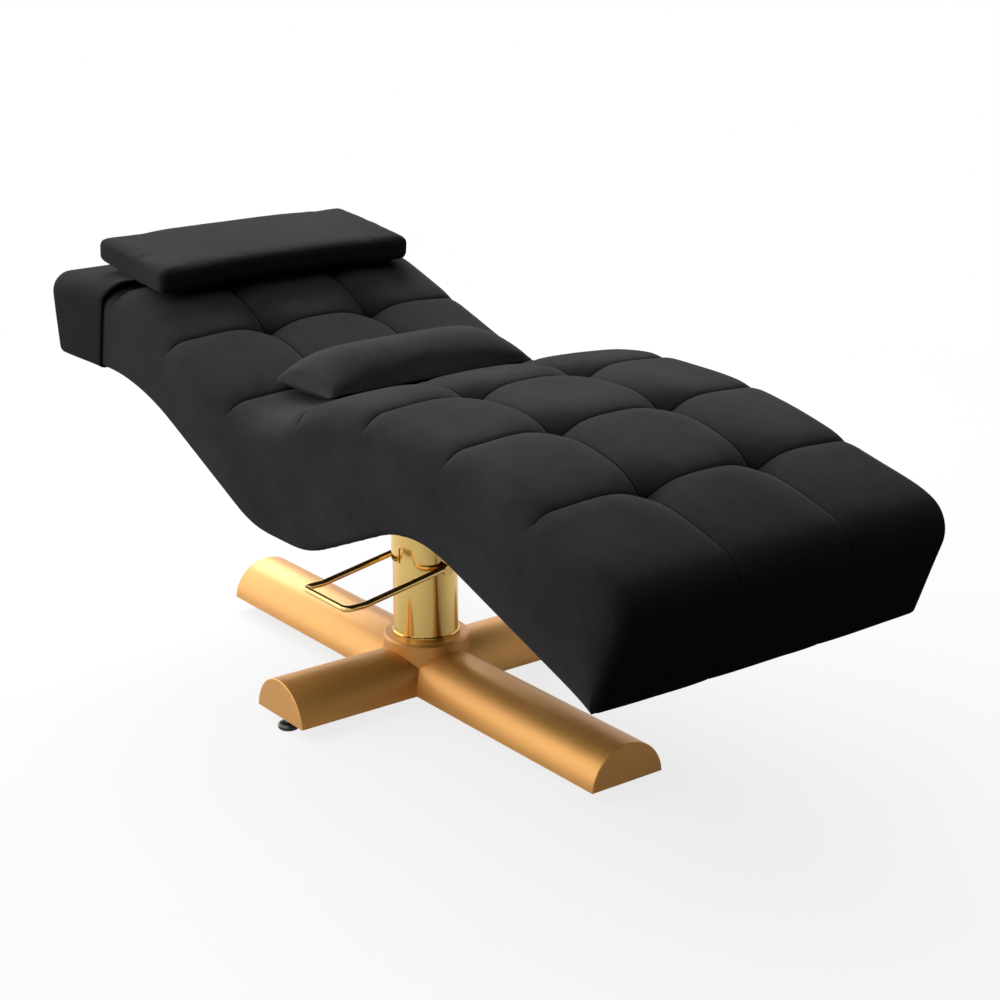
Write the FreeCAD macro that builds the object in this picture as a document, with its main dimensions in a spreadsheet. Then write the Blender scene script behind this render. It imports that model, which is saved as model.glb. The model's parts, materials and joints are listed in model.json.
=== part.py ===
import FreeCAD, Part
import math
import os
import re
import Sketcher

Vector = FreeCAD.Vector

doc = FreeCAD.newDocument("LashBed")
sheet = doc.addObject("Spreadsheet::Sheet", "Sizes")

# Driving sizes in millimetres and degrees. The swivel axis stands on the origin,
# the foot end of the bed points along +X, and +Z is up from the floor.
SIZES = {
    # Cross base
    "leg_low": 24.3, "leg_height": 67.0, "leg_r": 72.5, "leg_wall": 4.0,
    "leg_long": 557.0, "leg_short": 307.0, "end_cap": 4.0, "end_cap_edge": 1.2,
    # Hub and column
    "hub_r": 77.0, "hub_rise": 18.2, "hub_floor": 15.0, "hub_edge": 4.0,
    "ring_width": 2.6, "ring_height": 7.5, "ring_edge": 1.3,
    "tube_r": 57.5, "tube_wall": 2.5, "tube_show": 192.5,
    "cap_wall": 1.8, "cap_gap": 0.2, "skirt_drop": 52.0, "skirt_turn": 18.5,
    "notch_width": 27.6, "notch_height": 31.0, "notch_corner": 8.0, "cap_edge": 1.5,
    # Pump inside the column
    "bore_r": 27.0, "bore_wall": 6.0, "head_drop": 77.0, "fit": 0.05,
    "bush_length": 38.0, "bush_wall": 6.0, "wiper_height": 4.0, "wiper_wall": 5.0,
    "ram_r": 20.0, "spigot_r": 16.0, "spigot_length": 60.0, "collar_r": 30.0,
    "collar_height": 6.0, "washer_height": 3.0, "piston_height": 22.0, "piston_stem": 14.0,
    "piston_float": 2.0, "seal_height": 6.0, "seal_depth": 4.0, "stop_gap": 0.3,
    # Foot lever and the small pump that it drives
    "pivot_rise": 133.5, "shaft_r": 5.5, "shaft_inner": 36.0, "lever_bush_wall": 1.5,
    "arm_x": 67.0, "arm_r": 5.8, "arm_reach": 174.0, "arm_level": 38.0, "arm_drop": 9.8, "arm_lift": 4.0,
    "arm_bend": 13.0, "level_bend": 60.0, "eye_r": 10.0, "eye_width": 12.0,
    "finger_x": 42.0, "finger_width": 8.0, "finger_reach": 18.0, "finger_r": 4.0,
    "finger_room": 2.5, "lever_up": 8.0, "lever_down": 22.0,
    "plunger_r": 4.5, "plunger_crown": 3.0, "plunger_length": 70.0, "barrel_r": 7.0, "barrel_length": 80.0,
    # Levelling feet
    "foot_inset": 17.0, "foot_inset_long": 57.0, "pad_r": 19.0, "pad_height": 13.0, "pad_flat": 16.5, "pad_neck": 9.0,
    "pad_side": 6.5, "pad_brow_r": 16.0, "pad_brow": 10.5,
    "stem_r": 5.0, "stem_length": 44.0, "stem_seat": 4.0,
    "socket_length": 26.0, "socket_height": 6.0, "nut_r": 9.0, "nut_height": 18.0,
    # Mounting plate under the bed
    "plate_neck": 67.0, "plate_thick": 8.0, "plate_long": 200.0, "plate_wide": 180.0,
    "plate_corner": 14.0, "boss_r": 32.0,
    "bolt_r": 4.0, "bolt_head_r": 7.0, "bolt_head": 5.5, "bolt_inset": 18.0,
    "tee_r": 11.0, "tee_height": 9.0, "bolt_end": 3.0,
    # Bed frame
    "bed_width": 634.0, "panel_pad": 14.0, "side_ply": 18.0, "deck_ply": 5.0, "foam": 46.0, "foam_trim": 2.0,
    "foam_gap": 0.6, "edge_lap": 3.0, "board_thick": 24.0,
    "cover_thick": 3.0, "cover_inset": 6.0, "cover_room": 8.0, "cover_bend": 30.0, "head_ply": 12.0, "head_pad": 4.0,
    "rail_long": 30.0, "rail_high": 45.0,
    "rail_head_x": -690.0, "rail_back_x": -400.0, "rail_knee_x": 400.0,
    "rail_shin_x": 640.0, "rail_foot_x": 815.0,
    # Tufted top
    "row_first": 249.0, "row_pitch": 213.0, "column_y": 108.0,
    "cross_dip": 6.0, "seam_dip": 10.0, "node_dip": 32.0,
    "shoulder_r": 34.0, "shoulder_dip": 7.0, "shoulder_foot": 5.0, "top_inset": 1.5, "front_shoulder_r": 14.0, "top_start": 9.0,
    # Slip-on hood, headrest pad and loose pillow
    "hood_wall": 5.0, "hood_gap": 0.4, "hood_low_x": -579.0, "hood_high_x": -545.0,
    "hood_round": 36.0, "hood_corner": 10.0,
    "rest_long": 245.0, "rest_wide": 534.0, "rest_thick": 50.0, "rest_x": -548.0, "rest_tilt": 6.0,
    "rest_crown": 3.0, "rest_belly": 4.0, "rest_round": 13.0, "rest_gap": 0.3,
    "pillow_wide": 424.0, "pillow_deep": 175.0, "pillow_top": 59.0, "pillow_low": 18.0, "pillow_edge": 5.0,
    "pillow_corner": 32.0, "pillow_x": -47.0, "pillow_tilt": -1.3, "pillow_gap": 2.1,
}

# Side outline of the bed, clockwise from the head: place from the swivel axis, height
# above the mounting plate and rounding of each corner.
OUTLINE = {
    "head_top": (-774.0, 276.0, 14.0),
    "back_top": (-505.0, 300.0, 250.0),
    "seat_dip": (-40.0, 151.0, 230.0),
    "knee_rise": (178.0, 246.0, 600.0),
    "knee_top": (588.0, 246.0, 1200.0),
    "foot_nose": (935.5, 120.5, 60.0),
    "foot_low": (856.0, -64.0, 12.0),
    "knee_under": (420.0, 89.0, 260.0),
    "belly_front": (119.0, -36.0, 220.0),
    "belly_rear": (-52.0, -36.0, 220.0),
    "back_under": (-443.0, 138.0, 600.0),
    "head_low": (-750.0, 135.0, 20.0),
}

# Heights that follow from the driving sizes
LEVELS = {
    "leg_axis": "leg_low + leg_height - leg_r",
    "hub_top": "leg_low + leg_height + hub_rise",
    "floor_top": "leg_low + hub_floor",
    "tube_top": "hub_top + tube_show",
    "pump_head_low": "tube_top - head_drop",
    "pivot_z": "hub_top + pivot_rise",
    "collar_low": "tube_top + cap_wall + wiper_height + stop_gap",
    "spigot_low": "collar_low + collar_height",
    "boss_low": "spigot_low + washer_height + fit",
    "plate_low": "boss_low + plate_neck",
    "plate_top": "plate_low + plate_thick",
    "frame_y": "bed_width / 2 - panel_pad",
    "inner_y": "bed_width / 2 - panel_pad - side_ply",
}


def fill_sheet():
    rows = dict(SIZES)
    for corner, (x, z, r) in OUTLINE.items():
        rows.update({corner + "_x": x, corner + "_z": z, corner + "_r": r})
    cells = [(name, str(value)) for name, value in rows.items()]
    cells += [(name, "=" + rule) for name, rule in LEVELS.items()]
    for row, (name, text) in enumerate(cells, start=1):
        sheet.set("A%d" % row, name)
        sheet.set("B%d" % row, text)
        sheet.setAlias("B%d" % row, name)
    doc.recompute()


def size(name):
    return float(sheet.get(name))


fill_sheet()
parts = {}


# Building helpers

def keep(name, feature, **bound):
    """Files a finished sub-part under its node name, with its place bound to the sheet."""
    feature.Label = name
    for axis, rule in bound.items():
        feature.setExpression("Placement.Base." + axis, on_sheet(rule))
    parts[name] = feature
    return feature


def turn(feature, axis, angle):
    """Turns a sub-part about a line through its own origin."""
    feature.Placement.Rotation = FreeCAD.Rotation(Vector(*axis), angle)


def new_body():
    return doc.addObject("PartDesign::Body", "Piece")


def new_sketch(body, plane, lift=None):
    sketch = body.newObject("Sketcher::SketchObject", "Sketch")
    support = [face for face in body.Origin.OriginFeatures if face.Role == plane][0]
    sketch.AttachmentSupport = [(support, "")]
    sketch.MapMode = "FlatFace"
    if lift:
        sketch.setExpression("AttachmentOffset.Base.z", on_sheet(lift))
    return sketch


def on_sheet(rule):
    """Prefixes every sheet name in a rule, so that other objects can read it."""
    return re.sub(r"(?<![\w.])(?!sqrt|sin|cos|tan)([a-z]\w*)", r"Sizes.\1", rule)


def sheet_value(rule):
    """The number that a rule on sheet names gives."""
    return float(sheet.evalExpression(on_sheet(rule)))


def polygon(sketch, corners):
    """Closes straight lines through corners whose places are rules on the sheet."""
    spots = [(sheet_value(across), sheet_value(up)) for across, up in corners]
    for start, end in zip(spots, spots[1:] + spots[:1]):
        sketch.addGeometry(Part.LineSegment(Vector(*start, 0), Vector(*end, 0)), False)
    for index in range(len(corners)):
        follower = (index + 1) % len(corners)
        sketch.addConstraint(Sketcher.Constraint("Coincident", index, 2, follower, 1))
    for index, (rules, spot) in enumerate(zip(corners, spots)):
        for kind, rule, value in zip(("DistanceX", "DistanceY"), rules, spot):
            number = sketch.addConstraint(Sketcher.Constraint(kind, -1, 1, index, 1, value))
            sketch.setExpression("Constraints[%d]" % number, on_sheet(rule))


def circle(sketch, radius, across="0", up="0"):
    middle = Vector(sheet_value(across), sheet_value(up), 0)
    ring = sketch.addGeometry(Part.Circle(middle, Vector(0, 0, 1), sheet_value(radius)), False)
    number = sketch.addConstraint(Sketcher.Constraint("Radius", ring, sheet_value(radius)))
    sketch.setExpression("Constraints[%d]" % number, on_sheet(radius))
    for kind, rule, value in (("DistanceX", across, middle.x), ("DistanceY", up, middle.y)):
        number = sketch.addConstraint(Sketcher.Constraint(kind, -1, 1, ring, 3, value))
        sketch.setExpression("Constraints[%d]" % number, on_sheet(rule))


def pad(body, sketch, length, middle=False, back=False):
    feature = body.newObject("PartDesign::Pad", "Pad")
    feature.Profile = sketch
    feature.setExpression("Length", on_sheet(length))
    feature.SideType = "Symmetric" if middle else "One side"
    feature.Reversed = back
    doc.recompute()
    return feature


def pocket(body, sketch, length=None, middle=False, back=False):
    """Cuts a sketch from the body and makes sure that material went."""
    before = body.Shape.Volume
    feature = body.newObject("PartDesign::Pocket", "Pocket")
    feature.Profile = sketch
    if length:
        feature.setExpression("Length", on_sheet(length))
    else:
        feature.Type = "ThroughAll"
    feature.SideType = "Symmetric" if middle else "One side"
    feature.Reversed = back
    doc.recompute()
    if body.Shape.Volume > before - 1.0:
        raise RuntimeError("a pocket cut nothing")
    return feature


def revolved(name, corners):
    """A turned piece: a closed half section in the XZ plane, spun about Z."""
    body = new_body()
    sketch = new_sketch(body, "XZ_Plane")
    polygon(sketch, corners)
    spin = body.newObject("PartDesign::Revolution", "Revolution")
    spin.Profile = sketch
    spin.ReferenceAxis = (sketch, ["V_Axis"])
    spin.Angle = 360
    doc.recompute()
    return keep(name, body)


def sleeve(name, inner, outer, low, high):
    return revolved(name, [(inner, low), (outer, low), (outer, high), (inner, high)])


def cylinder(radius, height, x="0", y="0", z="0"):
    rod = doc.addObject("Part::Cylinder", "Rod")
    rod.setExpression("Radius", on_sheet(radius))
    rod.setExpression("Height", on_sheet(height))
    for axis, rule in zip("xyz", (x, y, z)):
        rod.setExpression("Placement.Base." + axis, on_sheet(rule))
    return rod


def joined(kind, first, second):
    feature = doc.addObject(kind, "Joined")
    feature.Base = first
    feature.Tool = second
    return feature


def fillet_edges(body, base, radius, wanted):
    """Rounds the edges of a body's last feature that a test on the edge picks."""
    doc.recompute()
    names = ["Edge%d" % (i + 1) for i, edge in enumerate(base.Shape.Edges) if wanted(edge)]
    feature = body.newObject("PartDesign::Fillet", "Fillet")
    feature.Base = (base, names)
    feature.setExpression("Radius", on_sheet(radius))
    doc.recompute()
    return feature


# Outline helpers: rounded corner chains in the plane of the side view

def bed_corners():
    return [(size(n + "_x"), size(n + "_z"), size(n + "_r")) for n in OUTLINE]


def inset(corners, depths):
    """Moves each side of a clockwise outline inwards by its depth, keeping roundings concentric."""
    count = len(corners)
    lines = []
    for i in range(count):
        (xa, za, _), (xb, zb, _) = corners[i], corners[(i + 1) % count]
        length = math.hypot(xb - xa, zb - za)
        along = ((xb - xa) / length, (zb - za) / length)
        inward = (along[1], -along[0])
        lines.append(((xa + inward[0] * depths[i], za + inward[1] * depths[i]), along))
    moved = []
    for i in range(count):
        (pa, da), (pb, db) = lines[i - 1], lines[i]
        cross = da[0] * db[1] - da[1] * db[0]
        step = ((pb[0] - pa[0]) * db[1] - (pb[1] - pa[1]) * db[0]) / cross
        depth = 0.5 * (depths[i - 1] + depths[i])
        radius = corners[i][2] - depth if cross < 0 else corners[i][2] + depth
        moved.append((pa[0] + step * da[0], pa[1] + step * da[1], max(radius, 1.0)))
    return moved


def rounded_chain(corners, closed=True):
    """Lines and tangent arcs through rounded corners, each given as its place and then its rounding."""
    count = len(corners)
    spots = [Vector(*corner[:-1]) for corner in corners]
    joints = []
    for i in range(count):
        here = spots[i]
        ends = not closed and i in (0, count - 1)
        rounding = corners[i][-1]
        if ends or rounding <= 0:
            joints.append((here, None, here))
            continue
        back = (spots[i - 1] - here).normalize()
        ahead = (spots[(i + 1) % count] - here).normalize()
        half = 0.5 * back.getAngle(ahead)
        reach = rounding / math.tan(half)
        bisector = (back + ahead).normalize()
        top = here + bisector * (rounding / math.sin(half) - rounding)
        joints.append((here + back * reach, top, here + ahead * reach))
    pieces = []
    for i in range(count):
        start, top, end = joints[i]
        if top:
            pieces.append(Part.Arc(start, top, end))
        if closed or i < count - 1:
            onward = joints[(i + 1) % count][0]
            pieces.append(Part.LineSegment(end, onward))
    return pieces


def chain_sketch(body, pieces, plane="XZ_Plane", lift=None):
    sketch = new_sketch(body, plane, lift)
    for piece in pieces:
        sketch.addGeometry(piece, False)
    return sketch


def depths_of(top, front, under, head):
    return [top] * 5 + [front] + [under] * 5 + [head]


def strip(name, outer, inner, width):
    """A bent panel between two open corner chains, across the bed."""
    body = new_body()
    pieces = rounded_chain(outer, closed=False)
    back = rounded_chain(list(reversed(inner)), closed=False)
    ends = [Part.LineSegment(pieces[-1].EndPoint, back[0].StartPoint),
            Part.LineSegment(back[-1].EndPoint, pieces[0].StartPoint)]
    sketch = chain_sketch(body, pieces + [ends[0]] + back + [ends[1]])
    pad(body, sketch, width, middle=True)
    return keep(name, body, z="plate_top")


def span_at(corners, x):
    """Lowest and highest point of a rounded outline above one place along the bed."""
    edges = [piece.toShape() for piece in rounded_chain(corners)]
    post = Part.makeLine(Vector(x, -2000, 0), Vector(x, 2000, 0))
    heights = [edge.distToShape(post)[1][0][0].y for edge in edges if edge.distToShape(post)[0] < 1e-6]
    return min(heights), max(heights)


# Cross base

def half_round(low, wall=None):
    """The leg's half-round section: an arc on a flat bottom, as a band where it has a wall."""
    axis, radius = size("leg_axis"), size("leg_r")
    def bow(r):
        half = math.sqrt(r * r - (low - axis) ** 2)
        return Part.Arc(Vector(-half, low, 0), Vector(0, axis + r, 0), Vector(half, low, 0))
    outer = bow(radius)
    if wall is None:
        return [outer, Part.LineSegment(outer.EndPoint, outer.StartPoint)]
    inner = bow(radius - wall)
    return [outer, Part.LineSegment(outer.EndPoint, inner.EndPoint), inner,
            Part.LineSegment(inner.StartPoint, outer.StartPoint)]


def leg(name, length, angle):
    """A half-round channel, mitred against its neighbours and saddled on the hub."""
    body = new_body()
    shell = chain_sketch(body, half_round(size("leg_low"), size("leg_wall")), "YZ_Plane")
    pad(body, shell, length + " - end_cap")
    reach = "leg_r * 2"
    for side in ("", "-"):
        mitre = new_sketch(body, "XY_Plane")
        polygon(mitre, [("0", "0"), (reach, side + reach), ("0", side + reach)])
        pocket(body, mitre, "hub_top", back=True)
    saddle = new_sketch(body, "XY_Plane")
    circle(saddle, "hub_r")
    pocket(body, saddle, "hub_top", back=True)
    turn(keep(name, body), (0, 0, 1), angle)


def end_cap(name, length, angle):
    body = new_body()
    face = chain_sketch(body, half_round(size("leg_low")), "YZ_Plane", length + " - end_cap")
    plate = pad(body, face, "end_cap")
    far = size(length)
    chamfer = body.newObject("PartDesign::Chamfer", "Chamfer")
    rim = ["Edge%d" % (i + 1) for i, e in enumerate(plate.Shape.Edges)
           if e.BoundBox.XMin > far - 1e-6 and len(e.Vertexes) == 2 and e.Length > 3 * size("leg_height")]
    chamfer.Base = (plate, rim)
    chamfer.setExpression("Size", "Sizes.end_cap_edge")
    doc.recompute()
    turn(keep(name, body), (0, 0, 1), angle)


def foot_socket(name, spot, angle):
    """A cross plate with a welded nut, which takes the stem of a levelling foot."""
    body = new_body()
    plate = new_sketch(body, "XY_Plane", "leg_low")
    far = spot + " + socket_length / 2"
    near = spot + " - socket_length / 2"
    half_wide = "sqrt((leg_r - leg_wall)^2 - (leg_low + socket_height - leg_axis)^2)"
    polygon(plate, [(near, "-" + half_wide), (far, "-" + half_wide), (far, half_wide), (near, half_wide)])
    pad(body, plate, "socket_height")
    nut = new_sketch(body, "XY_Plane", "leg_low")
    circle(nut, "nut_r", spot)
    pad(body, nut, "nut_height")
    thread = new_sketch(body, "XY_Plane", "leg_low")
    circle(thread, "stem_r + fit", spot)
    pocket(body, thread, "nut_height", back=True)
    turn(keep(name, body), (0, 0, 1), angle)


def hub():
    revolved("hub", [("0", "leg_low"), ("hub_r", "leg_low"), ("hub_r", "hub_top - hub_edge"),
                     ("hub_r - hub_edge", "hub_top"), ("tube_r", "hub_top"), ("tube_r", "floor_top"),
                     ("0", "floor_top")])


# Column, its stamped cap and the pump inside

def column():
    sleeve("pump_tube", "tube_r - tube_wall", "tube_r", "floor_top", "tube_top")
    tube = parts["pump_tube"]
    window = new_sketch(tube, "YZ_Plane")
    circle(window, "shaft_r + lever_bush_wall", "0", "pivot_z")
    pocket(tube, window, "tube_r * 4", middle=True)
    rim, top = "tube_r + ring_width", "hub_top + ring_height"
    revolved("trim_ring", [("tube_r", "hub_top"), (rim, "hub_top"), (rim, top + " - ring_edge"),
                           (rim + " - ring_edge", top), ("tube_r", top)])


def pump_cap():
    """A stamped cover whose skirt is cut away in four round-cornered notches."""
    inner, outer = "tube_r + cap_gap", "tube_r + cap_gap + cap_wall"
    low, top, hole = "tube_top - skirt_drop", "tube_top + cap_wall", "ram_r + wiper_wall"
    cap = revolved("pump_cap", [(hole, "tube_top"), (inner, "tube_top"), (inner, low), (outer, low),
                                (outer, top + " - cap_edge"), (outer + " - cap_edge", top), (hole, top)])
    half, foot = size("notch_width") / 2, sheet_value(low)
    crest, corner = foot + size("notch_height"), size("notch_corner")
    notch = chain_sketch(cap, rounded_chain([(-half, foot - corner, 0), (-half, crest, corner),
                                             (half, crest, corner), (half, foot - corner, 0)]))
    cut = pocket(cap, notch, "tube_r * 2")
    pattern = cap.newObject("PartDesign::PolarPattern", "Notches")
    pattern.Originals = [cut]
    pattern.Axis = ([f for f in cap.Origin.OriginFeatures if f.Role == "Z_Axis"][0], [""])
    pattern.Angle = 360
    pattern.Occurrences = 4
    cap.Tip = pattern
    doc.recompute()
    turn(cap, (0, 0, 1), size("skirt_turn"))


def pump():
    inner, bush = "tube_r - tube_wall", "ram_r + bush_wall"
    bush_low = "tube_top - bush_length"
    sleeve("pump_cylinder", "bore_r", "bore_r + bore_wall", "floor_top", "pump_head_low")
    head = revolved("pump_head", [("bore_r", "pump_head_low"), (inner, "pump_head_low"), (inner, "tube_top"),
                                  (bush, "tube_top"), (bush, bush_low), ("bore_r", bush_low)])
    shafts = new_sketch(head, "YZ_Plane")
    circle(shafts, "shaft_r + lever_bush_wall", "0", "pivot_z")
    pocket(head, shafts, "tube_r * 4", middle=True)
    reach = "finger_reach + finger_r + finger_room"
    rise = "finger_reach * sin(lever_up) + finger_r + finger_room"
    drop = "finger_reach * sin(lever_down) + finger_r + finger_room"
    slot = new_sketch(head, "YZ_Plane", "finger_x - finger_width / 2 - finger_room")
    polygon(slot, [("-(%s)" % reach, "pivot_z - (%s)" % drop), ("shaft_r + finger_room", "pivot_z - (%s)" % drop),
                   ("shaft_r + finger_room", "pivot_z + (%s)" % rise), ("-(%s)" % reach, "pivot_z + (%s)" % rise)])
    pocket(head, slot, "finger_width + 2 * finger_room", back=True)
    guide = new_sketch(head, "XY_Plane", "pump_head_low")
    circle(guide, "plunger_r + fit", "finger_x", "-finger_reach")
    pocket(head, guide, "head_drop / 2", back=True)
    sleeve("guide_bush", "ram_r + fit", bush, bush_low, "tube_top")
    sleeve("wiper_seal", "ram_r + fit", "ram_r + wiper_wall", "tube_top", "tube_top + cap_wall + wiper_height")
    barrel = revolved("plunger_barrel", [("0", "-barrel_length"), ("barrel_r", "-barrel_length"), ("barrel_r", "0"),
                                         ("plunger_r + fit", "0"), ("plunger_r + fit", "plunger_r - barrel_length"),
                                         ("0", "plunger_r - barrel_length")])
    keep("plunger_barrel", barrel, x="finger_x", y="-finger_reach", z="pump_head_low")
    crown = "plunger_r - plunger_crown"
    plunger = revolved("plunger", [("0", "-plunger_length"), ("plunger_r", "-plunger_length"),
                                   ("plunger_r", "-plunger_crown"), (crown, "0"),
                                   ("0", "0")])
    keep("plunger", plunger, x="finger_x", y="-finger_reach", z="pivot_z - finger_r - stop_gap")


def ram():
    """The polished ram: a piston stem below, a collar and a swivel spigot above."""
    low, step = "floor_top + piston_float", "floor_top + piston_float + piston_height"
    top = "spigot_low + spigot_length"
    revolved("ram", [("0", low), ("piston_stem", low), ("piston_stem", step), ("ram_r", step), ("ram_r", "collar_low"),
                     ("collar_r", "collar_low"), ("collar_r", "spigot_low"), ("spigot_r", "spigot_low"),
                     ("spigot_r", top), ("0", top)])
    seal_low = low + " + (piston_height - seal_height) / 2"
    outer, groove = "bore_r - fit", "bore_r - seal_depth"
    revolved("piston", [("piston_stem", low), (outer, low), (outer, seal_low), (groove, seal_low),
                        (groove, seal_low + " + seal_height"), (outer, seal_low + " + seal_height"),
                        (outer, step), ("piston_stem", step)])
    sleeve("piston_seal", groove, outer, seal_low, seal_low + " + seal_height")
    sleeve("thrust_washer", "spigot_r", "collar_r", "spigot_low", "spigot_low + washer_height")


# Foot lever

def across(radius, start, end):
    """A round bar along X at the lever's pivot."""
    rod = cylinder(radius, "%s - (%s)" % (end, start), start, "0", "pivot_z")
    turn(rod, (0, 1, 0), 90)
    return rod


def lever_rod():
    """The bent rod: two drooping arms that level out before the foot bar which joins them."""
    side, near, far = size("arm_x"), -size("eye_r") / 2, -size("arm_reach")
    bend, ease = size("arm_bend"), size("level_bend")
    droop = math.radians(size("arm_drop"))
    tip_y = far - size("arm_level") * math.cos(droop)
    tip_z = size("arm_level") * math.sin(droop)
    corners = [(-side, near, 0, 0), (-side, far, 0, ease), (-side, tip_y, tip_z, bend),
               (side, tip_y, tip_z, bend), (side, far, 0, ease), (side, near, 0, 0)]
    line = Part.Wire([piece.toShape() for piece in rounded_chain(corners, closed=False)])
    ring = Part.Wire(Part.makeCircle(size("arm_r"), Vector(-side, near, 0), Vector(0, 1, 0)))
    rod = doc.addObject("Part::Feature", "Rod")
    rod.Shape = line.makePipeShell([ring], True, False)
    rod.setExpression("Placement.Base.z", on_sheet("pivot_z + arm_lift"))
    turn(rod, (1, 0, 0), size("arm_drop"))
    return rod


def lever():
    bar = lever_rod()
    for start in ("arm_x - eye_width / 2", "-arm_x - eye_width / 2"):
        bar = joined("Part::Fuse", bar, across("eye_r", start, start + " + eye_width"))
    keep("lever_bar", joined("Part::Cut", bar, across("shaft_r", "-arm_x * 2", "arm_x * 2")))

    right = across("shaft_r", "shaft_inner", "arm_x + eye_width / 2")
    left = across("shaft_r", "-arm_x - eye_width / 2", "-shaft_inner")
    tip = cylinder("finger_r", "finger_width", "finger_x - finger_width / 2", "-finger_reach", "pivot_z")
    turn(tip, (0, 1, 0), 90)
    web = doc.addObject("Part::Box", "Web")
    web.setExpression("Length", on_sheet("finger_width"))
    web.setExpression("Width", on_sheet("finger_reach"))
    web.setExpression("Height", on_sheet("finger_r * 2"))
    for axis, rule in zip("xyz", ("finger_x - finger_width / 2", "-finger_reach", "pivot_z - finger_r")):
        web.setExpression("Placement.Base." + axis, on_sheet(rule))
    finger = joined("Part::Fuse", joined("Part::Fuse", web, tip), right)
    pair = doc.addObject("Part::Compound", "Pair")
    pair.Links = [finger, left]
    keep("lever_shafts", pair)

    bushes = doc.addObject("Part::Compound", "Bushes")
    inside = "finger_x + finger_width / 2 + finger_room"
    outside = "sqrt(tube_r^2 - (shaft_r + lever_bush_wall)^2)"
    links = []
    for start, end in ((inside, outside), ("-" + outside, "-(%s)" % inside)):
        shell = across("shaft_r + lever_bush_wall", start, end)
        core = across("shaft_r + fit", start, end)
        links.append(joined("Part::Cut", shell, core))
    bushes.Links = links
    keep("lever_bushes", bushes)


# Levelling feet

def levelling_foot(end, spot, direction):
    place = {"x": "%d * (%s)" % (direction[0], spot), "y": "%d * (%s)" % (direction[1], spot)}
    body = revolved("foot_pad_" + end, [("0", "0"), ("pad_flat", "0"), ("pad_r", "pad_r - pad_flat"),
                                        ("pad_r", "pad_side"), ("pad_brow_r", "pad_brow"), ("pad_neck", "pad_height"),
                                        ("stem_r", "pad_height"), ("stem_r", "stem_seat"), ("0", "stem_seat")])
    keep("foot_pad_" + end, body, **place)
    stem_body = revolved("foot_stem_" + end, [("0", "stem_seat"), ("stem_r", "stem_seat"),
                                              ("stem_r", "stem_seat + stem_length"), ("0", "stem_seat + stem_length")])
    keep("foot_stem_" + end, stem_body, **place)


# Mounting plate and its fasteners

def bolt_spots():
    across_x, across_y = "(plate_long / 2 - bolt_inset)", "(plate_wide / 2 - bolt_inset)"
    return [(a + across_x, b + across_y) for a in ("", "-") for b in ("", "-")]


def drill(body, plane_lift, length, back):
    holes = new_sketch(body, "XY_Plane", plane_lift)
    for spot in bolt_spots():
        circle(holes, "bolt_r", *spot)
    pocket(body, holes, length, back=back)


def mount_plate():
    body = new_body()
    half_x, half_y, corner = size("plate_long") / 2, size("plate_wide") / 2, size("plate_corner")
    flat = chain_sketch(body, rounded_chain([(-half_x, -half_y, corner), (half_x, -half_y, corner),
                                             (half_x, half_y, corner), (-half_x, half_y, corner)]),
                        "XY_Plane", "plate_low")
    pad(body, flat, "plate_thick")
    boss = new_sketch(body, "XY_Plane", "boss_low")
    circle(boss, "boss_r")
    pad(body, boss, "plate_neck")
    bore = new_sketch(body, "XY_Plane", "boss_low")
    circle(bore, "spigot_r + fit")
    pocket(body, bore, "spigot_length", back=True)
    drill(body, "plate_low", "plate_thick", True)
    keep("mount_plate", body)

    bolts, nuts = [], []
    board_top = "plate_top + board_thick"
    for x, y in bolt_spots():
        head = cylinder("bolt_head_r", "bolt_head", x, y, "plate_low - bolt_head")
        shank = cylinder("bolt_r", "plate_thick + board_thick + tee_height + bolt_end", x, y, "plate_low")
        bolts.append(joined("Part::Fuse", head, shank))
        nut = cylinder("tee_r", "tee_height", x, y, board_top)
        nuts.append(joined("Part::Cut", nut, cylinder("bolt_r", "tee_height", x, y, board_top)))
    for name, solids in (("mount_bolts", bolts), ("tee_nuts", nuts)):
        group = doc.addObject("Part::Compound", "Group")
        group.Links = solids
        keep(name, group)


# Bed frame

def under_chain(depth, belly, front, head):
    """The underside's corner chain, foot to head, with a flat belly at one height."""
    chain = inset(bed_corners(), depths_of(0, front, depth, head))[6:12]
    for index, beside in ((2, 1), (3, 4)):
        x, z, _ = chain[index]
        xb, zb, _ = chain[beside]
        chain[index] = (x + (xb - x) * (belly - z) / (zb - z), belly, size("cover_bend"))
    return chain


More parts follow.
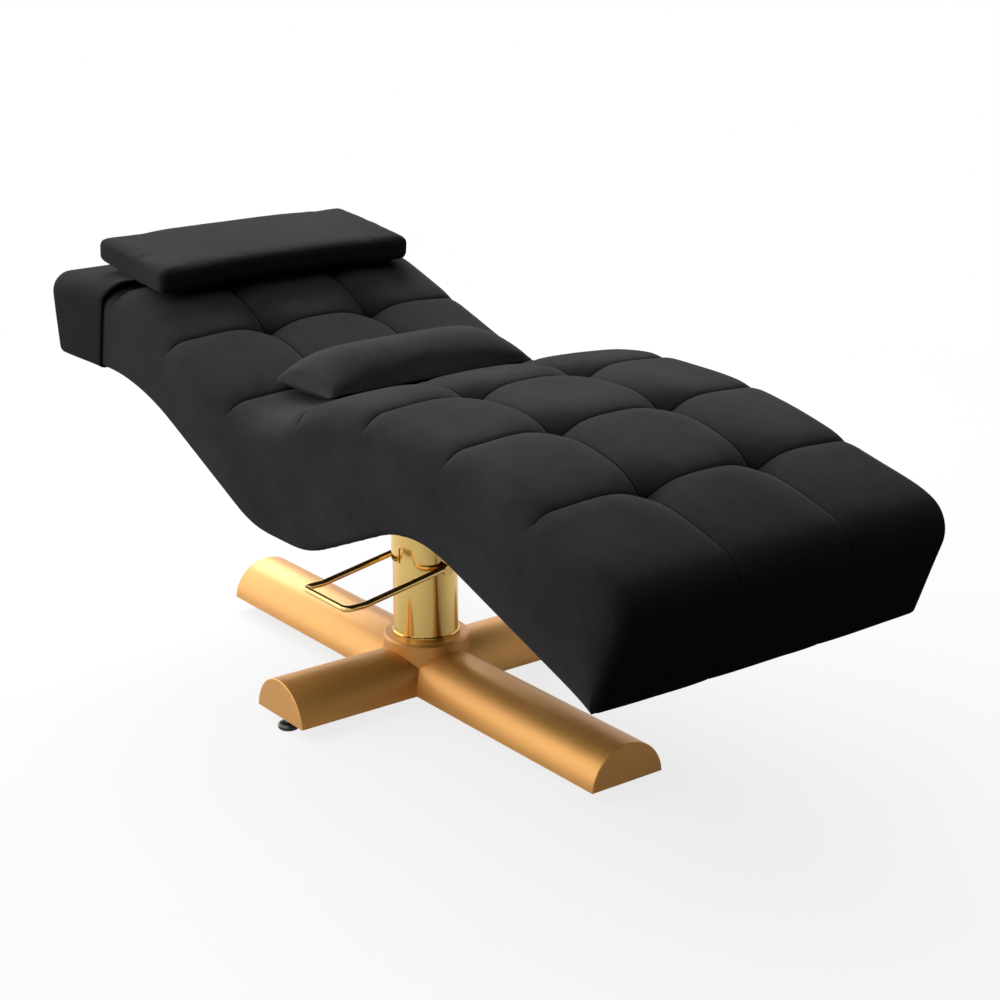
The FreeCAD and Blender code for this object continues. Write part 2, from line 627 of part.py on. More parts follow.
def bed_frame():
    corners = bed_corners()
    skin = size("foam") + size("foam_gap")
    deck = skin + size("deck_ply")
    head_out, head_in = size("head_pad"), size("head_pad") + size("head_ply")
    cover, thick = size("cover_inset"), size("cover_thick")

    top_outer = inset(corners, depths_of(skin, skin, 0, head_out))[:7]
    top_inner = inset(corners, depths_of(deck, deck, 0, head_out))[:7]
    strip("deck_panel", top_outer, top_inner, "frame_y * 2")

    side = inset(corners, depths_of(deck, deck, size("edge_lap"), head_in))
    cheek = inset(corners, depths_of(skin, skin, 0, 0))
    for hand, ply_face, pad_face in (("left", "-frame_y", "-bed_width / 2"), ("right", "inner_y", "frame_y")):
        ply = new_body()
        pad(ply, chain_sketch(ply, rounded_chain(side), lift=ply_face), "side_ply")
        keep("frame_side_" + hand, ply, z="plate_top")
        panel = new_body()
        pad(panel, chain_sketch(panel, rounded_chain(cheek), lift=pad_face), "panel_pad")
        keep("side_panel_" + hand, panel, z="plate_top")

    low = under_chain(cover, -thick, deck, head_in)
    high = under_chain(cover + thick, 0, deck, head_in)
    under = strip("bottom_cover", low, high, "inner_y * 2")
    opening = new_sketch(under, "XY_Plane", "-foam")
    half_x, half_y = "(plate_long / 2 + cover_room)", "(plate_wide / 2 + cover_room)"
    polygon(opening, [("-" + half_x, "-" + half_y), (half_x, "-" + half_y), (half_x, half_y), ("-" + half_x, half_y)])
    pocket(under, opening, "foam * 2", back=True)

    end_out = inset(corners, depths_of(deck, deck, size("edge_lap"), head_out))
    end_in = inset(corners, depths_of(deck, deck, size("edge_lap"), head_in))
    board = new_body()
    quad = [(x, z, 0) for x, z, _ in (end_out[0], end_in[0], end_in[11], end_out[11])]
    pad(board, chain_sketch(board, rounded_chain(quad)), "frame_y * 2", middle=True)
    keep("head_board", board, z="plate_top")

    base = new_body()
    foot_x, head_x = high[2][0] - size("cover_bend") / 2, high[3][0] + size("cover_bend") / 2
    half = size("inner_y")
    oblong = [(head_x, -half, 0), (foot_x, -half, 0), (foot_x, half, 0), (head_x, half, 0)]
    slab = chain_sketch(base, rounded_chain(oblong), "XY_Plane", "plate_top")
    pad(base, slab, "board_thick")
    drill(base, "plate_top", "board_thick", True)
    keep("mount_board", base)

    hollow = inset(corners, depths_of(deck, deck, cover + thick, head_in))
    for place in ("head", "back", "knee", "shin", "foot"):
        low_z, high_z = span_at(hollow, size("rail_%s_x" % place))
        rail = doc.addObject("Part::Box", "Rail")
        rail.setExpression("Length", on_sheet("rail_long"))
        rail.setExpression("Width", on_sheet("inner_y * 2"))
        rail.setExpression("Height", on_sheet("rail_high"))
        middle = 0.5 * (low_z + high_z)
        keep("rail_" + place, rail, x="rail_%s_x - rail_long / 2" % place, y="-inner_y",
             z="plate_top + %.3f - rail_high / 2" % middle)


# Tufted top

def top_path():
    """The top's crest line from the head corner to the foot's lower edge, as one wire."""
    chain = bed_corners()[:7]
    return Part.Wire([piece.toShape() for piece in rounded_chain(chain, closed=False)])


def along(path, distance):
    """Place, direction and outward normal on the crest line at a distance from the head."""
    for edge in path.Edges:
        if distance <= edge.Length + 1e-6:
            value = edge.getParameterByLength(min(distance, edge.Length))
            spot, tangent = edge.valueAt(value), edge.tangentAt(value).normalize()
            return spot, tangent, Vector(-tangent.y, tangent.x, 0)
        distance -= edge.Length
    raise ValueError("past the end of the crest line")


def tuft_section(path, distance, swell, shoulder):
    """Cross-section of the top: three swelling columns between rounded shoulders."""
    spot, _, normal = along(path, distance)
    half, seam_y = size("bed_width") / 2 - size("top_inset"), size("column_y")
    deep = size("foam") + size("foam_trim")
    crest = -size("cross_dip") * (1 - swell)
    seam = -size("node_dip") + (size("node_dip") - size("seam_dip")) * swell
    brow = crest - size("shoulder_dip")

    def at(y, height):
        place = spot + normal * height
        return Vector(place.x, y, place.y)

    turn_in = half - shoulder
    foot = size("shoulder_foot") - size("foam")
    bent = math.sqrt(0.5)
    shoulder_mid = turn_in + bent * shoulder
    rise_mid = foot + bent * (brow - foot)
    middle_y = 0.5 * (seam_y + turn_in)

    def bow(a, b, c):
        return Part.Arc(a, b, c).toShape()

    def line(a, b):
        return Part.LineSegment(a, b).toShape()

    edges = [line(at(-half, -deep), at(half, -deep)),
             line(at(half, -deep), at(half, foot)),
             bow(at(half, foot), at(shoulder_mid, rise_mid), at(turn_in, brow)),
             bow(at(turn_in, brow), at(middle_y, crest), at(seam_y, seam)),
             bow(at(seam_y, seam), at(0, crest), at(-seam_y, seam)),
             bow(at(-seam_y, seam), at(-middle_y, crest), at(-turn_in, brow)),
             bow(at(-turn_in, brow), at(-shoulder_mid, rise_mid), at(-half, foot)),
             line(at(-half, foot), at(-half, -deep))]
    return Part.Wire(edges)


def under_foam():
    """A thick band under the foam, past both of its ends, which trims the rows to the deck's curve."""
    depth = size("foam")
    chains = []
    for level in (depth, 2 * depth):
        chain = inset(bed_corners(), depths_of(level, level, 0, 0))[:7]
        for end, beside in ((0, 1), (-1, -2)):
            x, z, _ = chain[end]
            run = Vector(x - chain[beside][0], z - chain[beside][1], 0).normalize() * depth
            chain[end] = (x + run.x, z + run.y, 0)
        chains.append(chain)
    outer = rounded_chain(chains[0], closed=False)
    inner = rounded_chain(list(reversed(chains[1])), closed=False)
    ends = [Part.LineSegment(outer[-1].EndPoint, inner[0].StartPoint),
            Part.LineSegment(inner[-1].EndPoint, outer[0].StartPoint)]
    face = Part.Face(Part.Wire([piece.toShape() for piece in outer + [ends[0]] + inner + [ends[1]]]))
    wide = size("bed_width")
    face.rotate(Vector(), Vector(1, 0, 0), 90)
    face.translate(Vector(0, wide, 0))
    return face.extrude(Vector(0, -2 * wide, 0))


def tufted_top():
    path = top_path()
    first, pitch, round_top = size("row_first"), size("row_pitch"), size("shoulder_r")
    nose = sum(edge.Length for edge in path.Edges[:-2])
    nose_end = nose + path.Edges[-2].Length
    seams = []
    reach = first
    while reach < nose - pitch / 2:
        seams.append(reach)
        reach += pitch
    swells = ((0.0, 0.0), (0.1, 0.42), (0.28, 0.84), (0.5, 1.0), (0.72, 0.84), (0.9, 0.42), (1.0, 0.0))
    head_swells = ((0.0, 0.25), (0.3, 0.45), (0.55, 0.5), (0.8, 0.38), (1.0, 0.0))
    begin = size("top_start")
    rows = [[tuft_section(path, begin + (first - begin) * u, swell, round_top) for u, swell in head_swells]]
    for start, end in zip(seams, seams[1:]):
        rows.append([tuft_section(path, start + (end - start) * u, swell, round_top) for u, swell in swells])
    tight = size("front_shoulder_r")
    last = seams[-1]
    flat = nose - last
    shin = [(last, 0.0, round_top), (last + 0.3 * flat, 0.75, round_top), (last + 0.6 * flat, 1.0, round_top),
            (nose, 1.0, tight)]
    bend = [(nose + (nose_end - nose) * share, 1.0, tight) for share in (0.0, 0.25, 0.5, 0.75, 1.0)]
    front = [(nose_end, 1.0, tight), (path.Length, 0.8, tight)]
    for stretch in (shin, bend, front):
        rows.append([tuft_section(path, *station) for station in stretch])
    solids = [Part.makeLoft(row, True, True) for row in rows]
    cushion = solids[0].multiFuse(solids[1:]).cut(under_foam())
    feature = doc.addObject("Part::Feature", "Top")
    feature.Shape = cushion.Solids[0]
    keep("top_cushion", feature, z="plate_top")


# Hood, headrest pad and pillow

def hood_block(grow, ahead=0.0):
    """The head end of the bed, swollen by a wall, with its shoulders rounded."""
    corners = inset(bed_corners(), depths_of(-grow, 0, -grow, -grow))

    def on_side(a, b, x):
        share = (x - a[0]) / (b[0] - a[0])
        return x, a[1] + (b[1] - a[1]) * share, 0

    body = new_body()
    head_high, head_low = corners[0], corners[11]
    mouth_high = on_side(corners[0], corners[1], size("hood_high_x") + ahead)
    mouth_low = on_side(corners[11], corners[10], size("hood_low_x") + ahead)
    quad = [mouth_high, mouth_low, (head_low[0], head_low[1], 0), (head_high[0], head_high[1], 0)]
    slab = pad(body, chain_sketch(body, rounded_chain(quad)), "bed_width + %.3f" % (2 * grow), middle=True)
    rim = size("bed_width") / 2 + grow
    level = 0.5 * (mouth_high[1] + mouth_low[1])
    shoulder = "hood_round - hood_wall - hood_gap + %.3f" % grow
    fillet_edges(body, slab, shoulder, lambda edge: abs(abs(edge.CenterOfMass.y) - rim) < 1e-6
                 and edge.CenterOfMass.z > level and edge.BoundBox.XLength > edge.BoundBox.ZLength * 2)
    return body, mouth_high


def hood():
    wall, gap = size("hood_wall"), size("hood_gap")
    outer, brim = hood_block(wall + gap)
    far = min(vertex.X for vertex in outer.Shape.Vertexes)
    end = size("head_low_x") - size("head_top_x") + wall
    fillet_edges(outer, outer.Tip, "hood_corner", lambda edge: edge.BoundBox.XMax < far + end)
    inner, _ = hood_block(gap, ahead=2 * wall)
    shell = joined("Part::Cut", outer, inner)
    keep("headrest_hood", shell, z="plate_top")
    return brim


def headrest_pad(brim):
    """A boxed pad with a crowned top, a fuller underside and soft edges, seated on the hood's brim."""
    half, thick = size("rest_long") / 2, size("rest_thick")
    crown, belly = size("rest_crown"), size("rest_belly")
    low = [Vector(-half, belly, 0), Vector(0, 0, 0), Vector(half, belly, 0)]
    high = [Vector(half, thick - crown, 0), Vector(0, thick, 0), Vector(-half, thick - crown, 0)]
    box = [Part.Arc(*low), Part.LineSegment(low[2], high[0]), Part.Arc(*high), Part.LineSegment(high[2], low[0])]
    body = new_body()
    block = pad(body, chain_sketch(body, box), "rest_wide", middle=True)
    fillet_edges(body, block, "rest_round", lambda edge: True)
    tilt = FreeCAD.Rotation(Vector(0, 1, 0), size("rest_tilt"))
    seat = Vector(brim[0], 0, brim[1] + size("plate_top"))
    lift = tilt.multVec(Vector(size("rest_x") - brim[0], 0, size("rest_gap")))
    keep("headrest_pad", body)
    body.Placement = FreeCAD.Placement(seat + lift, tilt)


def lens_section(y, half_deep, top, low, edge):
    """A pillow's section: a full bow above and a shallow one below, between narrow sewn edges."""
    def at(x, z):
        return Vector(x, y, z)
    half_edge = edge / 2
    bows = [Part.Arc(at(-half_deep, -half_edge), at(0, -max(low, edge)), at(half_deep, -half_edge)),
            Part.LineSegment(at(half_deep, -half_edge), at(half_deep, half_edge)),
            Part.Arc(at(half_deep, half_edge), at(0, max(top, edge)), at(-half_deep, half_edge)),
            Part.LineSegment(at(-half_deep, half_edge), at(-half_deep, -half_edge))]
    return Part.Wire([bow.toShape() for bow in bows])


def lumbar_pillow():
    """A loose pillow that fills the seat's hollow: rounded at its corners, and thinner towards its ends."""
    wide, deep, corner = size("pillow_wide") / 2, size("pillow_deep") / 2, size("pillow_corner")
    top, low, edge = size("pillow_top"), size("pillow_low"), size("pillow_edge")
    shares = (0.0, 0.3, 0.55, 0.72, 0.84, 0.92, 0.97, 1.0)
    sections = []
    for share in [-share for share in reversed(shares[1:])] + list(shares):
        swell = (1 - share ** 4) ** 0.7
        past = max(0.0, abs(share) * wide - (wide - corner))
        half_deep = deep - corner + math.sqrt(corner ** 2 - past ** 2)
        sections.append(lens_section(wide * share, half_deep, top * swell, low * swell, edge))
    feature = doc.addObject("Part::Feature", "Pillow")
    feature.Shape = Part.makeLoft(sections, True, True)
    valley = span_at(bed_corners(), size("pillow_x"))[1]
    tilt = FreeCAD.Rotation(Vector(0, 1, 0), size("pillow_tilt"))
    middle = Vector(size("pillow_x"), 0, size("plate_top") + valley + low + size("pillow_gap"))
    feature.Placement = FreeCAD.Placement(middle, tilt)
    keep("lumbar_pillow", feature)


# Assembly

LEGS = (("foot_end", "leg_long", "foot_inset_long", 0, (1, 0)), ("left", "leg_short", "foot_inset", 90, (0, 1)),
        ("head_end", "leg_long", "foot_inset_long", 180, (-1, 0)), ("right", "leg_short", "foot_inset", 270, (0, -1)))

hub()
for end, length, inset_of_foot, angle, direction in LEGS:
    spot = "%s - %s" % (length, inset_of_foot)
    leg("leg_" + end, length, angle)
    end_cap("end_cap_" + end, length, angle)
    foot_socket("foot_socket_" + end, spot, angle)
    levelling_foot(end, spot, direction)
column()
pump_cap()
pump()
ram()
lever()
mount_plate()
bed_frame()
tufted_top()
headrest_pad(hood())
lumbar_pillow()
doc.recompute()

for thing in doc.Objects:
    if "Invalid" in thing.State or "Error" in thing.State:
        raise RuntimeError("failed object: %s (%s)" % (thing.Label, thing.Name))
for name, thing in parts.items():
    if thing.Shape.isNull() or not thing.Shape.isValid() or not thing.Shape.Solids:
        raise RuntimeError("bad shape: " + name)

os.makedirs("parts", exist_ok=True)
for name, thing in parts.items():
    thing.Shape.exportStep("parts/%s.step" % name)
print("%d sub-parts" % len(parts))
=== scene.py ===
"""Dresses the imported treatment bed: tufted black velvet, gold paint, polished brass and glossy plastic."""

import json
import math

import bmesh
import bpy
import numpy as np
from mathutils import Matrix, Vector, noise as wave


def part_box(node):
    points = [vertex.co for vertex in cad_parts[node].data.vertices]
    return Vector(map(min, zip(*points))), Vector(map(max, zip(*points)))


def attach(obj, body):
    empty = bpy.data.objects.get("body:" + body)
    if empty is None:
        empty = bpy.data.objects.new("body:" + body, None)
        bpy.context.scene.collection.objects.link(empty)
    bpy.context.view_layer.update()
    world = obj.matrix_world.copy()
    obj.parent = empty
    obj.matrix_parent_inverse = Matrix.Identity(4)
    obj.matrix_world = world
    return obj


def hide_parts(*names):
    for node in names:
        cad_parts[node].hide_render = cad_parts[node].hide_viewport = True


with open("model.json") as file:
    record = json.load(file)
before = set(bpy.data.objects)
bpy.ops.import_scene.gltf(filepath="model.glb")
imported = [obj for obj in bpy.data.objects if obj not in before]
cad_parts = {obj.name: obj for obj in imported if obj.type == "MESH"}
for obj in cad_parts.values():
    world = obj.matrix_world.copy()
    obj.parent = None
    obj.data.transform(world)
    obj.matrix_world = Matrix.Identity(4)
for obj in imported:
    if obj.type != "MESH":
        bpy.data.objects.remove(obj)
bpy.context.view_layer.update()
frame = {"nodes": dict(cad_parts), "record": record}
nodes = frame["nodes"]
scene = bpy.context.scene
MM = 0.001

# Side outline of the bed in millimetres: place along the bed, height above the mounting plate, rounding
CREST = ((-774, 276, 0), (-505, 300, 250), (-40, 151, 230), (178, 246, 600), (588, 246, 1200),
         (937.5, 121.5, 62), (857, -70, 12), (803, -51.5, 3), (799, -39, 0))
UNDERSIDE = ((-750, 135, 0), (-443, 138, 600), (-52, -36, 220), (119, -36, 220), (420, 89, 260),
             (856, -64, 0))
CREST_NOSE = 5
CREST_FOOT = 6
PLATE_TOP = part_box("mount_plate")[1].z

# Sizes of the velvet cover in metres
HALF_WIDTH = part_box("side_panel_left")[1].y
ROW_FIRST = 249 * MM
ROW_PITCH = 213 * MM
ROWS = 7
SEAM_Y = 108 * MM
NODE_DEPTH = 36 * MM
CROSS_DIP = 5.5 * MM
CROSS_REACH = 0.036
SEAM_DIP = 10 * MM
SEAM_REACH = 0.05
STITCH_DIP = 2.0 * MM
STITCH_REACH = 0.005
SHOULDER = 46 * MM
FRONT_SHOULDER = 24 * MM
FRONT_TIGHTER = 13 * MM
SHOULDER_DIP = 7 * MM
FOLD = 9 * MM
LAP = 28.6 * MM
LAP_BELOW = 1.6 * MM
LAP_RISE = 7.0 * MM
EASE = 20 * MM
SLACK = 2.5 * MM
SIDE_PUFF = 2.5 * MM

# Lengths on the cover in metres, over which its form or its painted shade changes
NOSE_RUN = 0.16
NOSE_BEFORE = 0.05
CALM_AFTER = 0.05
CALM_RUN = 0.16
FRONT_SHADE_BEFORE = 0.10
FRONT_SHADE_RUN = 0.16
PUFF_FROM = 0.27
PUFF_RUN = 0.15
EASE_FADE = 0.08
HEAD_FADE = 0.06
FOOT_LAP = 0.006
FOOT_RUN = 0.09
SHOULDER_GAP = 0.02

# Shares and powers that shape the cover, and its painted shade, towards its front and edges
NODE_POWER = 3.0
HELD_TO = 0.85
HELD_FADE = 0.3
FRONT_LEVEL = 0.6
FRONT_SEAM = 0.08
FRONT_STITCH = 0.2
FRONT_FOLD_LOST = 0.85
BROW_PAINTED_SHADE = 0.7
FRONT_PAINTED_SHADE = 0.3


class Value:
    """A socket that takes part in Python arithmetic: each operation adds a Math node to its tree."""

    def __init__(self, tree, socket):
        self.tree = tree
        self.socket = socket

    def math(self, operation, *items):
        node = self.tree.nodes.new("ShaderNodeMath")
        node.operation = operation
        for slot, item in zip(node.inputs, items):
            feed(self.tree, slot, item)
        return Value(self.tree, node.outputs[0])

    def __add__(self, other):
        return self.math("ADD", self, other)

    def __sub__(self, other):
        return self.math("SUBTRACT", self, other)

    def __rsub__(self, other):
        return self.math("SUBTRACT", other, self)

    def __mul__(self, other):
        return self.math("MULTIPLY", self, other)

    def __truediv__(self, other):
        return self.math("DIVIDE", self, other)

    def __pow__(self, other):
        return self.math("POWER", self, other)

    def __neg__(self):
        return self.math("MULTIPLY", self, -1.0)

    def __abs__(self):
        return self.math("ABSOLUTE", self)

    __radd__ = __add__
    __rmul__ = __mul__

    def least(self, other):
        return self.math("MINIMUM", self, other)

    def most(self, other):
        return self.math("MAXIMUM", self, other)

    def clamp(self):
        return self.most(0.0).least(1.0)

    def sin(self):
        return self.math("SINE", self)

    def cos(self):
        return self.math("COSINE", self)


def feed(tree, slot, item):
    """Puts a number, colour, data-block or link into a socket."""
    if isinstance(item, Value):
        tree.links.new(item.socket, slot)
    else:
        slot.default_value = item


class Graph:
    """A node tree that is filled by short calls."""

    def __init__(self, tree):
        self.tree = tree

    def add(self, kind, settings=None, sockets=None):
        """Adds a node, sets it, then fills its sockets. Returns a function from an output to its value."""
        node = self.tree.nodes.new(kind)
        for key, value in (settings or {}).items():
            setattr(node, key, value)
        for key, value in (sockets or {}).items():
            feed(self.tree, node.inputs[key], value)
        return lambda name: Value(self.tree, node.outputs[name])

    def join(self, value, node, socket):
        self.tree.links.new(value.socket, node.inputs[socket])


def colour_mix(graph, share, dark, light):
    """A colour between two others."""
    mixed = graph.add("ShaderNodeMix", {"data_type": "RGBA"}, {0: share, 6: (*dark, 1.0), 7: (*light, 1.0)})
    return mixed(2)


# Finishes

def finish_of(name, **fixed):
    """A new material with its shader's fixed sockets set. Returns the material, its graph and the shader."""
    material = bpy.data.materials.new(name)
    material.use_nodes = True
    shader = material.node_tree.nodes["Principled BSDF"]
    for socket, value in fixed.items():
        shader.inputs[socket.replace("_", " ")].default_value = value
    return material, Graph(material.node_tree), shader


def object_spot(graph):
    return graph.add("ShaderNodeTexCoord")("Object")


def stretched(graph, spot, scale):
    return graph.add("ShaderNodeMapping", None, {"Vector": spot, "Scale": scale})("Vector")


def noise(graph, spot, scale, detail=2.0, rough=0.5):
    return graph.add("ShaderNodeTexNoise", None,
                     {"Vector": spot, "Scale": scale, "Detail": detail, "Roughness": rough})("Fac")


def bump(graph, shader, height, distance, strength):
    bumped = graph.add("ShaderNodeBump", None, {"Strength": strength, "Distance": distance, "Height": height})
    graph.join(bumped("Normal"), shader, "Normal")


# Reach and strengths of the painted shade in the cover's velvet: in its seams, its tufting hollows and
# towards its front
SEAM_PAINTED_SHADE_REACH = 2.2 * MM
HOLLOW_PAINTED_SHADE = 0.9
PAINTED_FRONT_SHADE_DEPTH = 0.92


def velvet(name, dark, light, seamed=False):
    """Short-pile velvet: fine pile and slow brush marks, and on the sewn cover painted shade in its seams and
    tufting hollows and painted shade towards its front and nose.
    """
    material, graph, shader = finish_of(name, Sheen_Weight=0.10, Sheen_Roughness=0.5, Specular_IOR_Level=0.0,
                                        Sheen_Tint=(0.9, 0.92, 1.0, 1.0))
    spot = object_spot(graph)
    brushed = noise(graph, spot, scale=6.0, detail=3.0, rough=0.55)
    strokes = noise(graph, spot, scale=38.0)
    pile = noise(graph, spot, scale=1500.0, detail=1.0)
    share = (brushed * 0.6 + strokes * 0.2 + pile * 0.2).clamp()
    height = pile
    if seamed:
        gap, hollow, lay = [graph.add("ShaderNodeAttribute", {"attribute_name": mark})("Fac")
                            for mark in ("seam", "hollow", "lay")]
        # Painted shade in the seam creases: the colour darkens within a few millimetres of each seam
        away = (gap / SEAM_PAINTED_SHADE_REACH).clamp()
        # Painted shade in the tufting hollows and towards the front and nose: both darken the colour
        share = share * away * (1.0 - hollow * HOLLOW_PAINTED_SHADE) * (1.0 - lay * PAINTED_FRONT_SHADE_DEPTH)
        height = pile * away + away
    graph.join(colour_mix(graph, share, dark, light), shader, "Base Color")
    graph.join(brushed * 0.12 + 0.8, shader, "Roughness")
    bump(graph, shader, height, distance=0.5 * MM, strength=0.35)
    return material


def gold_paint(name, dark, light):
    """Satin metallic paint with fine flake and a little orange peel."""
    material, graph, shader = finish_of(name, Coat_Weight=0.12, Coat_Roughness=0.3)
    spot = object_spot(graph)
    flake = graph.add("ShaderNodeTexVoronoi", None, {"Vector": spot, "Scale": 2600.0})("Distance")
    cloud = noise(graph, spot, scale=9.0, detail=3.0)
    share = (flake * 0.35 + cloud * 0.65).clamp()
    graph.join(colour_mix(graph, share, dark, light), shader, "Base Color")
    graph.join(0.66 - flake * 0.2, shader, "Metallic")
    graph.join(cloud * 0.10 + 0.40, shader, "Roughness")
    peel = noise(graph, spot, scale=420.0, detail=1.0)
    bump(graph, shader, peel, distance=0.08 * MM, strength=0.5)
    return material


def polished(name, dark, light, rough, lines):
    """Polished metal with faint turning lines round the column's axis and slight staining."""
    material, graph, shader = finish_of(name, Metallic=1.0)
    spot = object_spot(graph)
    turning = noise(graph, stretched(graph, spot, (4.0, 4.0, lines)), scale=1.0)
    stain = noise(graph, spot, scale=14.0, detail=3.0)
    share = (stain * 0.7 + turning * 0.3).clamp()
    graph.join(colour_mix(graph, share, dark, light), shader, "Base Color")
    graph.join(turning * 0.06 + stain * 0.05 + rough, shader, "Roughness")
    bump(graph, shader, turning, distance=0.02 * MM, strength=0.4)
    return material


def plain(name, dark, light, rough, scale, metallic=0.0, height=0.1):
    """A quiet finish: mottled colour and roughness over a fine surface grain."""
    material, graph, shader = finish_of(name, Metallic=metallic)
    spot = object_spot(graph)
    mottle = noise(graph, spot, scale, detail=3.0)
    graph.join(colour_mix(graph, mottle, dark, light), shader, "Base Color")
    graph.join(mottle * 0.12 + rough, shader, "Roughness")
    fine = noise(graph, spot, scale * 12, detail=1.0)
    bump(graph, shader, fine, distance=height * MM, strength=0.4)
    return material


def plywood(name, dark, light):
    """Bare plywood with long grain along the bed and thin ply lines across its thickness."""
    material, graph, shader = finish_of(name)
    drawn = stretched(graph, object_spot(graph), (3.0, 60.0, 60.0))
    grain = noise(graph, drawn, scale=1.0, detail=4.0, rough=0.6)
    graph.join(colour_mix(graph, grain, dark, light), shader, "Base Color")
    graph.join(grain * 0.15 + 0.6, shader, "Roughness")
    bump(graph, shader, grain, distance=0.15 * MM, strength=0.4)
    return material


FINISHES = {
    "gold_paint": gold_paint("gold_paint", (0.57, 0.27, 0.058), (0.71, 0.36, 0.095)),
    "polished_brass": polished("polished_brass", (0.60, 0.40, 0.12), (0.76, 0.54, 0.20), rough=0.07,
                               lines=900.0),
    "gold_rod": polished("gold_rod", (0.66, 0.41, 0.13), (0.80, 0.54, 0.21), rough=0.09, lines=300.0),
    "hard_chrome": polished("hard_chrome", (0.70, 0.70, 0.71), (0.84, 0.84, 0.85), rough=0.08, lines=700.0),
    "zinc_steel": plain("zinc_steel", (0.42, 0.42, 0.41), (0.62, 0.62, 0.60), rough=0.32, scale=30.0,
                        metallic=1.0, height=0.05),
    "cast_pump": plain("cast_pump", (0.10, 0.10, 0.10), (0.19, 0.19, 0.19), rough=0.55, scale=40.0,
                       metallic=0.8, height=0.3),
    "bronze_bush": plain("bronze_bush", (0.42, 0.26, 0.10), (0.60, 0.40, 0.18), rough=0.35, scale=40.0,
                         metallic=1.0, height=0.05),
    "seal_rubber": plain("seal_rubber", (0.010, 0.010, 0.010), (0.022, 0.022, 0.022), rough=0.6, scale=60.0),
    "plate_paint": plain("plate_paint", (0.012, 0.012, 0.012), (0.026, 0.026, 0.026), rough=0.42, scale=50.0),
    "pad_plastic": plain("pad_plastic", (0.008, 0.008, 0.008), (0.016, 0.016, 0.016), rough=0.12, scale=25.0,
                         height=0.03),
    "bottom_board": plain("bottom_board", (0.010, 0.010, 0.010), (0.020, 0.020, 0.020), rough=0.8, scale=90.0,
                          height=0.4),
    "plywood": plywood("plywood", (0.42, 0.27, 0.13), (0.68, 0.50, 0.30)),
    # The four velvets are one black fabric; their tones differ as painted shade and painted light: the pad's
    # a little darker and the hood's much darker than the cover's, the pillow's a little lighter
    "black_velvet": velvet("black_velvet", (0.002, 0.002, 0.002), (0.058, 0.058, 0.059), seamed=True),
    "hood_velvet": velvet("hood_velvet", (0.004, 0.004, 0.004), (0.028, 0.028, 0.029)),
    "pad_velvet": velvet("pad_velvet", (0.006, 0.006, 0.006), (0.044, 0.044, 0.045)),
    "pillow_velvet": velvet("pillow_velvet", (0.010, 0.010, 0.010), (0.062, 0.062, 0.063)),
}

for subpart in frame["record"]["subparts"]:
    mesh = nodes[subpart["node"]].data
    mesh.materials.clear()
    mesh.materials.append(FINISHES[subpart["material_slot"]])


# Pieces and node trees

def new_piece(name, mesh, finish=None):
    piece = bpy.data.objects.new(name, mesh)
    scene.collection.objects.link(piece)
    if finish:
        mesh.materials.append(FINISHES[finish])
    return piece


def outward(piece):
    """Turns a mesh's faces outwards."""
    form = bmesh.new()
    form.from_mesh(piece.data)
    bmesh.ops.recalc_face_normals(form, faces=form.faces)
    form.to_mesh(piece.data)
    form.free()


def as_mesh(piece):
    """The piece with its modifiers made real, as a plain mesh on the same object."""
    bpy.context.view_layer.update()
    shown = piece.evaluated_get(bpy.context.evaluated_depsgraph_get())
    mesh = bpy.data.meshes.new_from_object(shown)
    piece.modifiers.clear()
    piece.data = mesh
    return piece


def open_tree(name, objects, sizes):
    """A node tree with named inputs for objects, sizes and a finish. Returns its graph and its inputs."""
    tree = bpy.data.node_groups.new(name, "GeometryNodeTree")
    inputs = [("Geometry", "NodeSocketGeometry")]
    inputs += [(item, "NodeSocketObject") for item in objects]
    inputs += [(item, "NodeSocketFloat") for item in sizes]
    inputs.append(("Finish", "NodeSocketMaterial"))
    for socket, kind in inputs:
        tree.interface.new_socket(socket, in_out="INPUT", socket_type=kind)
    tree.interface.new_socket("Geometry", in_out="OUTPUT", socket_type="NodeSocketGeometry")
    graph = Graph(tree)
    return graph, graph.add("NodeGroupInput")


def close_tree(graph, given, geometry):
    """Ends a node tree: its instances are made real and get the finish."""
    whole = graph.add("GeometryNodeRealizeInstances", None, {"Geometry": geometry})("Geometry")
    dressed = graph.add("GeometryNodeSetMaterial", None, {"Geometry": whole, "Material": given("Finish")})
    graph.add("NodeGroupOutput", None, {"Geometry": dressed("Geometry")})
    return graph.tree


def run_tree(piece, tree, values):
    """Runs a node tree on a piece, with each input set by its identifier, and keeps the plain mesh."""
    modifier = piece.modifiers.new("Form", "NODES")
    modifier.node_group = tree
    for item in tree.interface.items_tree:
        if item.item_type == "SOCKET" and item.in_out == "INPUT" and item.name in values:
            modifier[item.identifier] = values[item.name]
    return as_mesh(piece)


# Velvet cover with its sewn rows

def outline_curve(name, corners):
    """A bent line through the outline's corners. Each point's radius is the corner's rounding."""
    data = bpy.data.curves.new(name, "CURVE")
    data.dimensions = "3D"
    line = data.splines.new("POLY")
    line.points.add(len(corners) - 1)
    for point, (x, height, rounding) in zip(line.points, corners):
        point.co = (x * MM, 0.0, PLATE_TOP + height * MM, 1.0)
        point.radius = rounding * MM
    curve = bpy.data.objects.new(name, data)
    scene.collection.objects.link(curve)
    return curve


